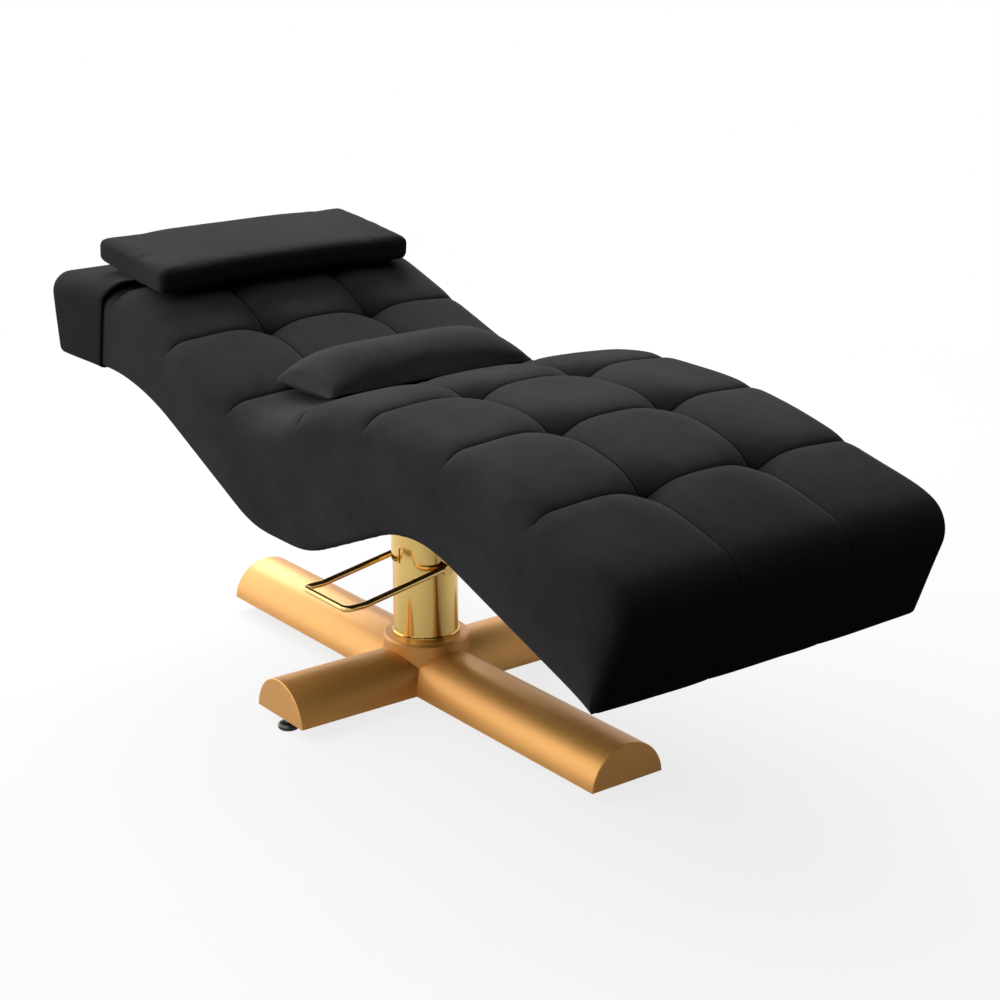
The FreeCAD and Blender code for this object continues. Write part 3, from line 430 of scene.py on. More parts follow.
def corner_lengths(corners):
    """Distance along the rounded outline to the middle of each corner's arc."""
    spots = [Vector((x, z)) * MM for x, z, _ in corners]
    lengths = [0.0]
    travelled, spare = 0.0, 0.0
    for before, here, after, corner in zip(spots, spots[1:], spots[2:], corners[1:]):
        turn = (here - before).angle(after - here)
        radius = corner[2] * MM
        reach = radius * math.tan(turn / 2)
        travelled += (here - before).length - spare - reach
        lengths.append(travelled + radius * turn / 2)
        travelled += radius * turn
        spare = reach
    lengths.append(travelled + (spots[-1] - spots[-2]).length - spare)
    return lengths


CREST_AT = corner_lengths(CREST)
UNDER_LONG = corner_lengths(UNDERSIDE)[-1]
NOSE_AT = CREST_AT[CREST_NOSE] - NOSE_BEFORE
FOOT_AT = CREST_AT[CREST_FOOT]
UNDER_END = UNDER_LONG - FOOT_LAP
NEAR_FOOT = UNDER_LONG - FOOT_RUN

# Grid of the flat cover: steps away from a seam and widths of cells, in millimetres
GRADE = (0.0, 1.2, 3.0, 6.0, 11.0, 19.0, 30.0, 45.0, 62.0, 82.0)
INNER_WIDE = 108.0
OUTER_WIDE = 164.0
OUTER_STEPS = (103.0, 124.0, 145.0, OUTER_WIDE)

# Its plain stretches before the first seam and after the last one, in metres, and its counts of lines
HEAD_PLAIN = 0.1
LAST_CELL = 0.11
HEAD_LINES = 10
FRONT_LINES = 44
BEND_LINES = 12
FOLD_LINES = 8


def zone_lines(zone, count):
    """Even steps through one zone of the cover's width."""
    return [zone + (i + 1) / count for i in range(count)]


def cover_lines():
    """Grid lines of the flat cover: distance from the head, and zone across from the middle to the fold."""
    seams = [ROW_FIRST + i * ROW_PITCH for i in range(ROWS)]
    along = set(round((ROW_FIRST - HEAD_PLAIN) * (i / HEAD_LINES), 5) for i in range(HEAD_LINES))
    for seam in seams:
        for step in GRADE:
            along.add(round(seam - step * MM, 5))
            along.add(round(seam + step * MM, 5))
        along.add(round(seam + ROW_PITCH / 2, 5))
        along.add(round(seam - ROW_PITCH / 2, 5))
    along = [x for x in along if x <= seams[-1] + LAST_CELL]
    end = CREST_AT[-1]
    last = max(along)
    along += [last + (end - last) * (i + 1) / FRONT_LINES for i in range(FRONT_LINES)]
    inner = [1 - step / INNER_WIDE for step in GRADE + (INNER_WIDE,)]
    outer = [1 + step / OUTER_WIDE for step in GRADE[1:] + OUTER_STEPS]
    bends = zone_lines(2, BEND_LINES) + zone_lines(3, BEND_LINES) + zone_lines(4, FOLD_LINES)
    half = sorted(inner) + outer + bends
    across = [-zone for zone in reversed(half) if zone > 0] + half
    return sorted(along), across


def flat_cover():
    along, across = cover_lines()
    mesh = bpy.data.meshes.new("flat_cover")
    points = [(s, c, 0.0) for s in along for c in across]
    wide = len(across)
    faces = []
    for i in range(len(along) - 1):
        for j in range(wide - 1):
            a = i * wide + j
            faces.append((a, a + wide, a + wide + 1, a + 1))
    mesh.from_pydata(points, [], faces)
    return mesh


def cover_tree():
    """Bends the flat cover over the bed's outline and draws its rows and columns down along their seams."""
    sizes = {"Row First": ROW_FIRST, "Row Pitch": ROW_PITCH, "Rows": float(ROWS), "Seam Y": SEAM_Y,
             "Half Width": HALF_WIDTH, "Shoulder": SHOULDER, "Front Shoulder": FRONT_SHOULDER,
             "Shoulder Dip": SHOULDER_DIP, "Node Depth": NODE_DEPTH, "Cross Dip": CROSS_DIP,
             "Seam Dip": SEAM_DIP, "Nose": NOSE_AT, "Foot": FOOT_AT, "Fold": FOLD, "Lap": LAP}
    graph, given = open_tree("tufted_cover", ("Crest", "Underside"), sizes)
    half, seam_y, pitch = given("Half Width"), given("Seam Y"), given("Row Pitch")
    first, nose, foot = given("Row First"), given("Nose"), given("Foot")

    def parts_of(vector):
        split = graph.add("ShaderNodeSeparateXYZ", None, {"Vector": vector})
        return split("X"), split("Y"), split("Z")

    def vector_of(x, y, z):
        return graph.add("ShaderNodeCombineXYZ", None, {"X": x, "Y": y, "Z": z})("Vector")

    def near(gap, reach):
        """One on a line, falling to nothing at its reach."""
        return (1.0 - gap / reach).most(0.0)

    def line_at(name, length, stretch):
        """Place and direction at a length along one of the outline's lines, eased over a short stretch."""
        shape = graph.add("GeometryNodeObjectInfo", None, {"Object": given(name)})("Geometry")
        radius = graph.add("GeometryNodeInputRadius")("Radius")
        bent = graph.add("GeometryNodeFilletCurve", {"mode": "POLY"},
                         {"Curve": shape, "Count": 40, "Radius": radius})("Curve")
        place, way = [0.0, 0.0], [0.0, 0.0]
        for share, weight in ((-1.0, 0.25), (0.0, 0.5), (1.0, 0.25)):
            spot = length + stretch * share
            found = graph.add("GeometryNodeSampleCurve", {"mode": "LENGTH"}, {"Curves": bent, "Length": spot})
            x, _, z = parts_of(found("Position"))
            along_x, _, along_z = parts_of(found("Tangent"))
            place = [x * weight + place[0], z * weight + place[1]]
            way = [along_x * weight + way[0], along_z * weight + way[1]]
        size = (way[0] * way[0] + way[1] * way[1]) ** 0.5
        return place, [way[0] / size, way[1] / size]

    s, zone, _ = parts_of(graph.add("GeometryNodeInputPosition")("Position"))
    hand = zone.math("SIGN", zone)
    depth = abs(zone)
    inner, outer, bend, side, fold = [(depth - i).clamp() for i in range(5)]

    # Width and shoulders, tighter towards the front
    ease = ((s - nose + NOSE_RUN) / NOSE_RUN).clamp()
    ease = ease * ease * (3.0 - 2.0 * ease)
    front_share = ((s - nose) / (foot - nose)).clamp()
    shoulder = given("Shoulder") + (given("Front Shoulder") - given("Shoulder")) * ease
    shoulder = shoulder - front_share * FRONT_TIGHTER
    brow = half - shoulder
    angle = bend * (math.pi / 2)
    y = seam_y * inner + (brow - seam_y) * outer + shoulder * angle.sin()
    sunk = given("Shoulder Dip") * outer * outer * (1.0 - ease * FRONT_LEVEL)
    drop = shoulder * (1.0 - angle.cos()) + sunk

    # Sewn rows, columns and the deep nodes where they cross
    last = given("Rows") - 1.0
    row = s.math("ROUND", (s - first) / pitch).most(0.0).least(last)
    gap_s = abs(s - first - row * pitch)
    gap_y = abs(y - seam_y)
    held = ((HELD_TO - bend) / HELD_FADE).clamp()
    calm = 1.0 - ((s - first - last * pitch - CALM_AFTER) / CALM_RUN).clamp()
    # Share of the tufting hollow: it pulls the cover down and is also stored as painted shade for the velvet
    hollow = near(gap_s, pitch * 0.5) ** NODE_POWER * near(gap_y, seam_y) ** NODE_POWER
    pull = given("Node Depth") * hollow
    cross = given("Cross Dip") * near(gap_s, CROSS_REACH) ** 2.0 * held
    column = given("Seam Dip") * near(gap_y, SEAM_REACH) ** 2.0 * (calm * (1.0 - FRONT_SEAM) + FRONT_SEAM)
    row_stitch = near(gap_s, STITCH_REACH) * held
    column_stitch = near(gap_y, STITCH_REACH) * (calm * (1.0 - FRONT_STITCH) + FRONT_STITCH)
    groove = STITCH_DIP * (row_stitch + column_stitch)
    slack = noise(graph, vector_of(s, y * hand, 0.0), scale=7.0, detail=1.0)
    height = -(pull + (cross + column) * (1.0 - hollow) + groove + drop + slack * SLACK)

    # Top edge and lower edge of the side, and the fold and lap under the bed
    eased = EASE * (1.0 - ((s - nose) / EASE_FADE).clamp())
    (px, pz), (tx, tz) = line_at("Crest", s, eased)
    nose_share = (s / nose).least(1.0)
    past = (s - foot).most(0.0)
    under = nose_share * NEAR_FOOT + front_share * (UNDER_END - NEAR_FOOT) - past
    (ux, uz), (vx, vz) = line_at("Underside", under, eased * (s / HEAD_FADE).clamp())
    edge_x, edge_z = px - tz * height, pz + tx * height
    round_off = given("Fold") * (1.0 - (front_share ** 3.0) * FRONT_FOLD_LOST)
    low_x, low_z = ux - vz * round_off, uz + vx * round_off
    roll = (fold * 2.0).least(1.0) * (math.pi / 2)
    tuck = (fold * 2.0 - 1.0).most(0.0)
    fall = (round_off + LAP_BELOW) * roll.sin() - (tuck * 4.0 - 3.0).most(0.0) * LAP_RISE
    x = edge_x + (low_x - edge_x) * side + vz * fall
    z = edge_z + (low_z - edge_z) * side - vx * fall
    puff = (side * math.pi).sin() * ((s - PUFF_FROM) / PUFF_RUN).clamp() * SIDE_PUFF * (1.0 - front_share)
    beside = near(past, UNDER_END - NEAR_FOOT)
    narrow = given("Fold") * FRONT_FOLD_LOST * (1.0 - beside ** 3.0) * (depth * 0.5).least(1.0)
    y = y + puff - narrow - round_off * (1.0 - roll.cos()) - given("Lap") * tuck

    # Marks for the velvet's painted shade in seams, tufting hollows and towards the front, kept before the
    # points move
    seam = gap_y.least(gap_s + (1.0 - held) * SHOULDER_GAP)
    # Painted shade over the nose and down the front, which face away from the light: it darkens the velvet's
    # colour, but not on the sides
    lay = ((s - nose + FRONT_SHADE_BEFORE) / FRONT_SHADE_RUN).clamp() * BROW_PAINTED_SHADE + front_share * FRONT_PAINTED_SHADE
    marked = given("Geometry")
    for name, value in (("seam", seam), ("hollow", hollow), ("lay", lay * (1.0 - side))):
        marked = graph.add("GeometryNodeStoreNamedAttribute", {"data_type": "FLOAT", "domain": "POINT"},
                           {"Geometry": marked, "Name": name, "Value": value})("Geometry")
    spot = vector_of(x, y * hand, z)
    moved = graph.add("GeometryNodeSetPosition", None, {"Geometry": marked, "Position": spot})("Geometry")
    smooth = graph.add("GeometryNodeSetShadeSmooth", None, {0: moved})("Geometry")
    return close_tree(graph, given, smooth), sizes


HEAD_END = -0.74
HEAD_LOW = PLATE_TOP + 0.2
LAP_INSIDE = HALF_WIDTH - FOLD - LAP + MM


def at_head(edge):
    """True on the open edge round the head end, apart from the lap's own inner corner."""
    ends = [vertex.co for vertex in edge.verts]
    on_lap = all(abs(end.y) < LAP_INSIDE and end.z < HEAD_LOW for end in ends)
    return edge.is_boundary and max(end.x for end in ends) < HEAD_END and not on_lap


def bed_cover():
    piece = new_piece("bed_cover", flat_cover())
    lines = {"Crest": outline_curve("crest_line", CREST), "Underside": outline_curve("under_line", UNDERSIDE)}
    tree, sizes = cover_tree()
    run_tree(piece, tree, {**sizes, **lines, "Finish": FINISHES["black_velvet"]})
    for line in lines.values():
        bpy.data.objects.remove(line)
    form = bmesh.new()
    form.from_mesh(piece.data)
    bmesh.ops.contextual_create(form, geom=[edge for edge in form.edges if at_head(edge)])
    bmesh.ops.recalc_face_normals(form, faces=form.faces)
    form.to_mesh(piece.data)
    form.free()
    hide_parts("top_cushion", "side_panel_left", "side_panel_right")
    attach(piece, "bed")


bed_cover()


# Slip-on hood: its upper and lower lines from mouth to head end and its sizes in millimetres, its runs as
# shares of the way from mouth to head end, and its counts of lines

HOOD_TOP = (Vector((-545, 0, 301.9)), Vector((-780, 0, 280.9)))
HOOD_LOW = (Vector((-579, 0, 131.4)), Vector((-754.8, 0, 129.6)))
HOOD_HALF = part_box("headrest_hood")[1].y / MM
HOOD_WALL = 5.0
HOOD_EDGE = 0.8
HOOD_CORNER = 24.0
HOOD_TOP_ROUND = 40.0
HOOD_LOW_ROUND = 14.0
HOOD_TALL = 160.0
HOOD_INSET_TALL = 150.0
HOOD_BRIM = 22
HOOD_BRIM_WIDE = 250
HOOD_BRIM_FROM = 0.8
HOOD_BRIM_RISE = 0.2
HOOD_WAVE_LONG = 3.1
HOOD_WAVE_WIDE = 130
HOOD_WAVE_TALL = 4.0
HOOD_SLACK = 1.2
HOOD_SIDE_SLACK = 0.9
HOOD_BELLY = 4.0
HOOD_SIDE_BELLY = 2.0
HOOD_CREASE = 2.2
HOOD_CREASE_RUN = 0.12
HOOD_CREASE_LONG = 0.09
HOOD_CREASE_Y = 262
HOOD_CREASE_WIDE = 26
HOOD_SIDE_FROM = 0.9
HOOD_SIDE_RISE = 10
HOOD_TOP_LINES = 12
HOOD_TOP_TURN = 8
HOOD_SIDE_LINES = 7
HOOD_LOW_TURN = 5
HOOD_LOW_LINES = 10
HOOD_STRAIGHT_FROM = 0.02
HOOD_STRAIGHT_LINES = 14
HOOD_CORNER_LINES = 6
HOOD_INSIDE = ((0.22, HOOD_WALL), (0.1, HOOD_WALL), (0.02, HOOD_WALL))
HOOD_MOUTH = ((0.004, HOOD_WALL - HOOD_EDGE), (0.0, HOOD_WALL / 2), (0.004, HOOD_EDGE), (0.02, 0.0))
HOOD_END = ((1.003, 34.0), (1.005, 46.0), (1.006, 60.0))


def hood_section():
    """The hood's section, once round from the middle of its top: place across and share of its height."""
    flat_top, flat_low = HOOD_HALF - HOOD_TOP_ROUND, HOOD_HALF - HOOD_LOW_ROUND
    ring = [(flat_top * i / HOOD_TOP_LINES, HOOD_TALL) for i in range(HOOD_TOP_LINES)]
    for i in range(HOOD_TOP_TURN + 1):
        turn = math.radians(90 * i / HOOD_TOP_TURN)
        ring.append((flat_top + HOOD_TOP_ROUND * math.sin(turn),
                     HOOD_TALL - HOOD_TOP_ROUND * (1 - math.cos(turn))))
    drop = HOOD_TALL - HOOD_TOP_ROUND - HOOD_LOW_ROUND
    ring += [(HOOD_HALF, HOOD_LOW_ROUND + drop * (1 - i / HOOD_SIDE_LINES))
             for i in range(1, HOOD_SIDE_LINES)]
    for i in range(HOOD_LOW_TURN + 1):
        turn = math.radians(90 * i / HOOD_LOW_TURN)
        ring.append((flat_low + HOOD_LOW_ROUND * math.cos(turn), HOOD_LOW_ROUND * (1 - math.sin(turn))))
    ring += [(flat_low * (1 - (i + 1) / HOOD_LOW_LINES), 0.0) for i in range(HOOD_LOW_LINES)]
    whole = ring + [(-y, h) for y, h in reversed(ring[1:-1])]
    return [(y, h / HOOD_TALL) for y, h in whole]


def hood_point(y, share, run, inset):
    """A point of the hood: place across, height share, run from mouth to head end, depth inside its face."""
    y *= (HOOD_HALF - inset) / HOOD_HALF
    share = inset / HOOD_INSET_TALL + share * (1 - 2 * inset / HOOD_INSET_TALL)
    low = HOOD_LOW[0].lerp(HOOD_LOW[1], run)
    high = HOOD_TOP[0].lerp(HOOD_TOP[1], run)
    spot = low.lerp(high, share)
    brim = max(0.0, (share - HOOD_BRIM_FROM) / HOOD_BRIM_RISE) * min(1.0, abs(y) / HOOD_BRIM_WIDE)
    spot.x += HOOD_BRIM * brim * max(0.0, 1 - run) ** 3
    slack = wave.noise(Vector((run * HOOD_WAVE_LONG, y / HOOD_WAVE_WIDE, share * HOOD_WAVE_TALL)))
    crease_along = math.exp(-((run - HOOD_CREASE_RUN) / HOOD_CREASE_LONG) ** 2)
    crease = crease_along * math.exp(-((abs(y) - HOOD_CREASE_Y) / HOOD_CREASE_WIDE) ** 2)
    loose = min(1.0, 4 * run) * min(1.0, 6 * max(0.0, 1 - run))
    belly = math.sin(math.pi * min(1.0, max(0.0, run)))
    crown = HOOD_BELLY * belly * (1 - (y / HOOD_HALF) ** 2)
    top = max(0.0, 2 * share - 1)
    spot.z += (HOOD_SLACK * slack * loose - HOOD_CREASE * crease + crown) * top
    edge = max(0.0, abs(y) / HOOD_HALF - HOOD_SIDE_FROM) * HOOD_SIDE_RISE
    side = 1 if y > 0 else -1
    swell = HOOD_SIDE_BELLY * belly * math.sin(math.pi * share) * min(1.0, 3 * run)
    spot.y = y + side * edge * (HOOD_SIDE_SLACK * slack * loose + swell)
    return (spot.x * MM, spot.y * MM, PLATE_TOP + spot.z * MM)


def hood_loops():
    """Loops of the hood as run and inset: up its inside, round the mouth, over its face and its end."""
    corner_run = HOOD_CORNER / (HOOD_TOP[0] - HOOD_TOP[1]).length
    straight = 1 - corner_run - HOOD_STRAIGHT_FROM
    loops = list(HOOD_INSIDE + HOOD_MOUTH)
    loops += [(HOOD_STRAIGHT_FROM + straight * (i + 1) / HOOD_STRAIGHT_LINES, 0.0)
              for i in range(HOOD_STRAIGHT_LINES)]
    for i in range(HOOD_CORNER_LINES):
        turn = math.radians(90 * (i + 1) / HOOD_CORNER_LINES)
        loops.append((1 - corner_run * (1 - math.sin(turn)), HOOD_CORNER * (1 - math.cos(turn))))
    return loops + list(HOOD_END)


def headrest_hood():
    loops = hood_loops()
    ring = hood_section()
    count = len(ring)
    points = [hood_point(y, share, run, inset) for run, inset in loops for y, share in ring]
    faces = []
    for here in range(0, (len(loops) - 1) * count, count):
        for j in range(count):
            k = (j + 1) % count
            faces.append((here + j, here + k, here + count + k, here + count + j))
    faces.append(tuple(range((len(loops) - 1) * count, len(loops) * count)))
    mesh = bpy.data.meshes.new("hood_cover")
    mesh.from_pydata(points, [], faces)
    piece = new_piece("hood_cover", mesh, "hood_velvet")
    outward(piece)
    mesh.shade_smooth()
    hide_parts("headrest_hood")
    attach(piece, "headrest")


# Staples along the cover's lap and hem stitches at the hood's mouth

def bar_tree():
    """Sets small bars along a line at a fixed pitch, each turned to the line."""
    graph, given = open_tree("bar_run", (), ("Pitch", "Length", "Width", "Height"))
    line = graph.add("GeometryNodeMeshToCurve", None, {"Mesh": given("Geometry")})("Curve")
    stations = graph.add("GeometryNodeCurveToPoints", {"mode": "LENGTH"},
                         {"Curve": line, "Length": given("Pitch")})
    size = graph.add("ShaderNodeCombineXYZ", None,
                     {"X": given("Width"), "Y": given("Height"), "Z": given("Length")})("Vector")
    bar = graph.add("GeometryNodeMeshCube", None, {"Size": size, "Vertices Z": 4})("Mesh")
    bars = graph.add("GeometryNodeInstanceOnPoints", None, {
        "Points": stations("Points"), "Instance": bar, "Rotation": stations("Rotation")})("Instances")
    return close_tree(graph, given, bars)


def bar_run(name, lines, body, finish, sizes):
    """Bars along one or more lines of points, as one piece on a body."""
    points, edges = [], []
    for line in lines:
        first = len(points)
        points += line
        edges += [(i, i + 1) for i in range(first, len(points) - 1)]
    mesh = bpy.data.meshes.new(name)
    mesh.from_pydata(points, edges, [])
    piece = run_tree(new_piece(name, mesh), bar_tree(), {**sizes, "Finish": FINISHES[finish]})
    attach(piece, body)


def lap_lines(y=296 * MM, below=2.0 * MM, steps=12, first=0.4, last=0.8):
    """Lines just under the cover's lap, along both sides of the bed."""
    under = [Vector((x, 0.0, z)) * MM for x, z, _ in UNDERSIDE]
    line = []
    for before, here, after, corner in zip(under, under[1:], under[2:], UNDERSIDE[1:]):
        turn = (here - before).angle(after - here)
        reach = corner[2] * MM * math.tan(turn / 2)
        start = here + (before - here).normalized() * reach
        end = here + (after - here).normalized() * reach
        for i in range(steps + 1):
            share = i / steps
            line.append(start * (1 - share) ** 2 + here * 2 * share * (1 - share) + end * share ** 2)
    line = [under[0].lerp(line[0], first)] + line + [line[-1].lerp(under[-1], last)]
    lift = Vector((0.0, 0.0, PLATE_TOP - below))
    return [[spot + lift + Vector((0.0, side * y, 0.0)) for spot in line] for side in (-1, 1)]


def hem_line(run=0.055, off=-0.3):
    """A line round the hood's face, a little way in from its mouth."""
    ring = hood_section()
    return [[Vector(hood_point(y, share, run, off)) for y, share in ring + ring[:1]]]


bar_run("lap_staples", lap_lines(), "bed", "zinc_steel",
        {"Pitch": 42 * MM, "Length": 10 * MM, "Width": 1.2 * MM, "Height": 0.7 * MM})
bar_run("hood_hem_stitches", hem_line(), "headrest", "seal_rubber",
        {"Pitch": 4.5 * MM, "Length": 3.2 * MM, "Width": 0.7 * MM, "Height": 0.6 * MM})
headrest_hood()


# Stuffed pad and pillow

WELD = 0.02 * MM
PRESSURE = 4.0
CLOTH_STEPS = 20
NO_MOVE = 1e-9


def node_form(name, node, voxel):
    """A closed even mesh over a copy of a node's form."""
    form = bmesh.new()
    form.from_mesh(nodes[node].data)
    bmesh.ops.remove_doubles(form, verts=form.verts, dist=WELD)
    bmesh.ops.recalc_face_normals(form, faces=form.faces)
    mesh = bpy.data.meshes.new(name)
    form.to_mesh(mesh)
    form.free()
    piece = new_piece(name, mesh)
    remesh = piece.modifiers.new("Remesh", "REMESH")
    remesh.mode = "VOXEL"
    remesh.voxel_size = voxel
    return as_mesh(piece)


def points_of(mesh):
    flat = np.empty(len(mesh.vertices) * 3)
    mesh.vertices.foreach_get("co", flat)
    return flat.reshape(-1, 3)


def set_points(mesh, points):
    mesh.vertices.foreach_set("co", points.ravel())
    mesh.update()


def fill_box(mesh, node, axes):
    """Stretches a mesh along some axes to the size of the solid that it replaces."""
    low, high = (np.array(corner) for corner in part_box(node))
    points = points_of(mesh)
    least, most = points.min(axis=0), points.max(axis=0)
    fitted = low + (points - least) * (high - low) / (most - least)
    points[:, axes] = fitted[:, axes]
    set_points(mesh, points)


def blow_up(piece, start, cap):
    """Blows a form up as cloth under pressure. No point moves further than the cap."""
    cloth = piece.modifiers.new("Cloth", "CLOTH")
    cloth.settings.use_pressure = True
    cloth.settings.uniform_pressure_force = PRESSURE
    cloth.settings.effector_weights.gravity = 0.0
    for step in range(1, CLOTH_STEPS + 1):
        scene.frame_set(step)
    as_mesh(piece)
    scene.frame_set(1)
    moves = points_of(piece.data) - start
    reach = np.linalg.norm(moves, axis=1)
    kept = np.minimum(1.0, cap / np.maximum(reach, NO_MOVE))
    set_points(piece.data, start + moves * kept[:, None])


def stuffed(piece, node, finish, inset, cap, axes):
    """Takes a form in a little, blows it up again, smooths it and fits it to its solid's box."""
    ways = np.array([tuple(vertex.normal) for vertex in piece.data.vertices])
    start = points_of(piece.data) - ways * inset
    set_points(piece.data, start)
    blow_up(piece, start, cap)
    finer = piece.modifiers.new("Subdivision", "SUBSURF")
    finer.levels = finer.render_levels = 1
    as_mesh(piece)
    fill_box(piece.data, node, axes)
    piece.data.materials.clear()
    piece.data.materials.append(FINISHES[finish])
    piece.data.shade_smooth()
    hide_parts(node)
    return piece


def drooped(piece, start, reach, low_drop, top_drop):
    """Lets a pad's ends sink, its underside further than its top."""
    points = points_of(piece.data)
    share = np.clip((np.abs(points[:, 1]) - start) / reach, 0.0, 1.0) ** 2
    lean = np.polyfit(points[:, 0], points[:, 2], 1)
    over = points[:, 2] - np.polyval(lean, points[:, 0])
    high = np.clip(over / over.max(), -1.0, 1.0) * 0.5 + 0.5
    points[:, 2] -= share * (low_drop + (top_drop - low_drop) * high)
    set_points(piece.data, points)


# Pillow in millimetres, its tilt in degrees, and the powers that shape its ends and crown
PILLOW_HALF = 212.0
PILLOW_DEEP = 87.5
PILLOW_CORNER = 12.0
PILLOW_TOP = 53.0
PILLOW_LOW = 16.0
PILLOW_RIM = 18
PILLOW_GATHER = 1.4
PILLOW_TILT = -1.3
END_FLAT = 5
END_ROUND = 0.7
CROWN_RISE = 0.6
CROWN_FALL = 0.8
CROWN_PEAK = 0.3844


def pillow_form(rows=60, columns=26):
    """The pillow before it is blown up: two sheets over a rounded plan, sewn together along their rim."""
    low_corner, high_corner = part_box("lumbar_pillow")
    middle = Vector((0.5 * (low_corner.x + high_corner.x), 0.0, low_corner.z + PILLOW_RIM * MM))
    turned = Matrix.Translation(middle) @ Matrix.Rotation(math.radians(PILLOW_TILT), 4, "Y")
    points, faces, sheets = [], [], []
    for way, swell_to in ((1, PILLOW_TOP), (-1, PILLOW_LOW)):
        sheet = []
        for i in range(rows + 1):
            share = math.sin(math.pi * (i / rows - 0.5))
            swell = max(0.0, 1 - abs(share) ** END_FLAT) ** END_ROUND
            past = max(0.0, abs(share) * PILLOW_HALF - (PILLOW_HALF - PILLOW_CORNER))
            deep = PILLOW_DEEP - PILLOW_CORNER + math.sqrt(PILLOW_CORNER ** 2 - past ** 2)
            line = []
            for j in range(columns + 1):
                v = math.sin(math.pi * (j / columns - 0.5))
                rim = i in (0, rows) or j in (0, columns)
                if rim and way < 0:
                    line.append(sheets[0][i][j])
                    continue
                run = 0.5 + 0.5 * v
                crown = run ** CROWN_RISE * (1 - run) ** CROWN_FALL / CROWN_PEAK if way > 0 else 1 - v * v
                height = way * swell_to * swell * crown
                gather = PILLOW_GATHER * wave.noise(Vector((share * 24.0, v * 2.0, 0.0))) * abs(v) ** 6
                spot = Vector((deep * v + gather, PILLOW_HALF * share, height + gather))
                points.append(turned @ (spot * MM))
                line.append(len(points) - 1)
            sheet.append(line)
        sheets.append(sheet)
        for i in range(rows):
            for j in range(columns):
                faces.append((sheet[i][j], sheet[i][j + 1], sheet[i + 1][j + 1], sheet[i + 1][j]))
    mesh = bpy.data.meshes.new("loose_pillow")
    mesh.from_pydata(points, [], faces)
    piece = new_piece("loose_pillow", mesh)
    outward(piece)
    return piece


pad_form = node_form("rest_pad", "headrest_pad", voxel=5 * MM)
rest_pad = stuffed(pad_form, "headrest_pad", "pad_velvet", inset=1.5 * MM, cap=3 * MM, axes=(0, 1, 2))
drooped(rest_pad, start=0.5 * SEAM_Y, reach=0.16, low_drop=8 * MM, top_drop=4 * MM)
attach(rest_pad, "headrest")
loose_pillow = stuffed(pillow_form(), "lumbar_pillow", "pillow_velvet", inset=0.0, cap=5 * MM, axes=(0, 1))
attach(loose_pillow, "pillow")


# Stage: pale floor, soft light and the camera, in metres and degrees

FLOOR_REACH = 12.0
FLOOR_DROP = 0.5 * MM
FLOOR_DARK = (0.06, 0.06, 0.06)
FLOOR_PALE = (0.88, 0.88, 0.88)
FLOOR_WHITE = 0.25
FLOOR_WHITER = 0.55
FLOOR_SHADE_TO = 0.9
FLOOR_SHADE_FADE = 2.2
WORLD_FILL = 0.015
SUNS = {"side": ((-0.56, -0.74, 0.38), 3.2, 100.0), "front": ((0.3, -0.35, 0.89), 0.45, 50.0)}
SUN_AWAY = 6
BACK_SPOT = Vector((-2.6, 0.7, 2.6))
BACK_AIM = Vector((0.3, 0.0, 0.6))
BACK_SIZE = 2.0
BACK_ENERGY = 118.0
CARDS = (("card_right", 12.0, 0.9), ("card_front", -38.0, 0.35), ("card_left", -98.0, 0.5))
CARD_AWAY = 4.0
CARD_LOW = Vector((0.0, 0.0, 0.05))
CARD_HIGH = Vector((0.0, 0.0, 2.5))
VIEW_AZIMUTH = 53.3
VIEW_ELEVATION = 18.0
VIEW_ROLL = -0.4
VIEW_SPOT = (2.8451, -1.9549, 1.4731)
VIEW_LENS = 74.75
VIEW_SENSOR = 36.0
VIEW_CLIP = (0.05, 100.0)


def seen_ray(graph):
    """One on rays from the camera, a mirror or a clear body."""
    path = graph.add("ShaderNodeLightPath")
    return path("Is Camera Ray").most(path("Is Glossy Ray")).most(path("Is Transmission Ray"))


def flat_card(name, corners, material):
    """One flat face of the stage."""
    mesh = bpy.data.meshes.new(name)
    mesh.from_pydata(corners, [], [(0, 1, 2, 3)])
    mesh.materials.append(material)
    return new_piece(name, mesh)


def stage_floor():
    """A floor that is white to the camera far off and keeps the bed's shadow near it."""
    material, graph, shader = finish_of("pale_floor", Roughness=0.9)
    seen = seen_ray(graph)
    graph.join(colour_mix(graph, seen, FLOOR_DARK, FLOOR_PALE), shader, "Base Color")
    away = graph.add("ShaderNodeVectorMath", {"operation": "LENGTH"}, {0: object_spot(graph)})("Value")
    near = graph.add("ShaderNodeLightPath")("Is Camera Ray") * FLOOR_WHITER + FLOOR_WHITE
    white = (near + (1.0 - near) * ((away - FLOOR_SHADE_TO) / FLOOR_SHADE_FADE).clamp()) * seen
    glow = graph.add("ShaderNodeEmission", None, {"Color": (1.0, 1.0, 1.0, 1.0), "Strength": 1.0})
    shade = Value(graph.tree, shader.outputs["BSDF"])
    mixed = graph.add("ShaderNodeMixShader", None, {0: white, 1: shade, 2: glow("Emission")})("Shader")
    graph.join(mixed, material.node_tree.nodes["Material Output"], "Surface")
    reach = FLOOR_REACH
    corners = [(-reach, -reach, 0), (reach, -reach, 0), (reach, reach, 0), (-reach, reach, 0)]
    floor = flat_card("floor", corners, material)
    floor.location.z = -FLOOR_DROP


def place_lamp(name, data, spot, back):
    """A lamp that shines against the direction given."""
    lamp = bpy.data.objects.new(name, data)
    lamp.location = spot
    lamp.rotation_mode = "QUATERNION"
    lamp.rotation_quaternion = back.to_track_quat("Z", "Y")
    scene.collection.objects.link(lamp)


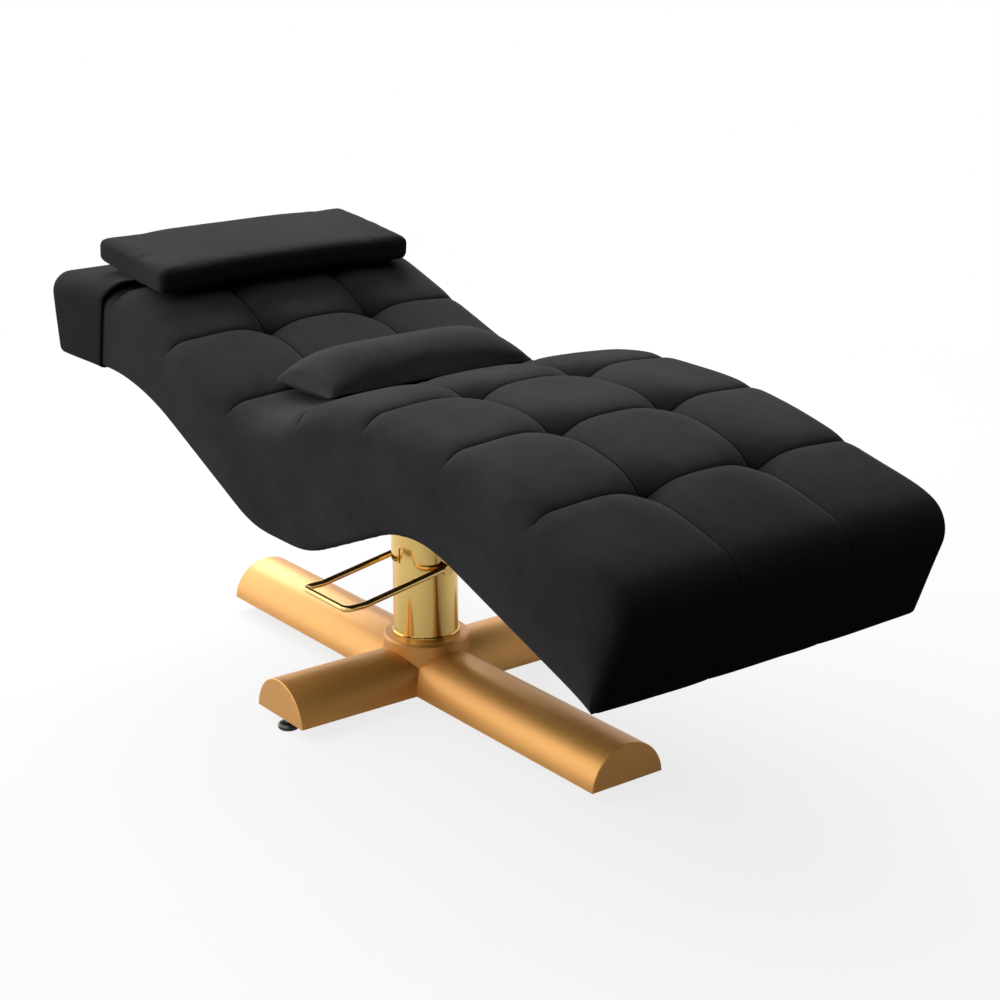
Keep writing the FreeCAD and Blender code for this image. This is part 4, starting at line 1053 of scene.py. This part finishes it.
def stage_light():
    """A white world that hardly lights the bed, two wide suns and one soft lamp behind."""
    world = bpy.data.worlds.new("studio")
    scene.world = world
    world.use_nodes = True
    graph = Graph(world.node_tree)
    back = world.node_tree.nodes["Background"]
    back.inputs["Color"].default_value = (1.0, 1.0, 1.0, 1.0)
    graph.join(seen_ray(graph) * (1.0 - WORLD_FILL) + WORLD_FILL, back, "Strength")
    for name, (way, strength, wide) in SUNS.items():
        data = bpy.data.lights.new(name, "SUN")
        data.angle = math.radians(wide)
        data.energy = strength
        place_lamp(name, data, Vector(way) * SUN_AWAY, Vector(way))
    data = bpy.data.lights.new("back", "AREA")
    data.size = BACK_SIZE
    data.energy = BACK_ENERGY
    place_lamp("back", data, BACK_SPOT, BACK_SPOT - BACK_AIM)


def stage_cards():
    """Tall dark cards beside the set, which only polished metal shows."""
    material = finish_of("dark_card", Base_Color=(0.03, 0.028, 0.02, 1.0), Roughness=0.9)[0]
    for name, angle, width in CARDS:
        turned = math.radians(angle)
        out = Vector((math.cos(turned), math.sin(turned), 0.0))
        across = Vector((-out.y, out.x, 0.0)) * width
        left, right = out * CARD_AWAY - across, out * CARD_AWAY + across
        corners = [left + CARD_LOW, right + CARD_LOW, right + CARD_HIGH, left + CARD_HIGH]
        card = flat_card(name, corners, material)
        card.visible_camera = card.visible_diffuse = card.visible_shadow = False


def stage_camera():
    azimuth, elevation, roll = [math.radians(turn) for turn in (VIEW_AZIMUTH, VIEW_ELEVATION, VIEW_ROLL)]
    back = Vector((math.sin(azimuth) * math.cos(elevation), -math.cos(azimuth) * math.cos(elevation),
                   math.sin(elevation)))
    right = Vector((0.0, 0.0, 1.0)).cross(back).normalized()
    up = back.cross(right)
    across = right * math.cos(roll) + up * math.sin(roll)
    upright = up * math.cos(roll) - right * math.sin(roll)
    data = bpy.data.cameras.new("photo_view")
    data.sensor_width = VIEW_SENSOR
    data.lens = VIEW_LENS
    data.clip_start, data.clip_end = VIEW_CLIP
    camera = bpy.data.objects.new("photo_view", data)
    turned = Matrix((across, upright, back)).transposed().to_4x4()
    camera.matrix_world = Matrix.Translation(VIEW_SPOT) @ turned
    scene.collection.objects.link(camera)
    scene.camera = camera


stage_floor()
stage_light()
stage_cards()
stage_camera()
scene.view_settings.view_transform = "Standard"
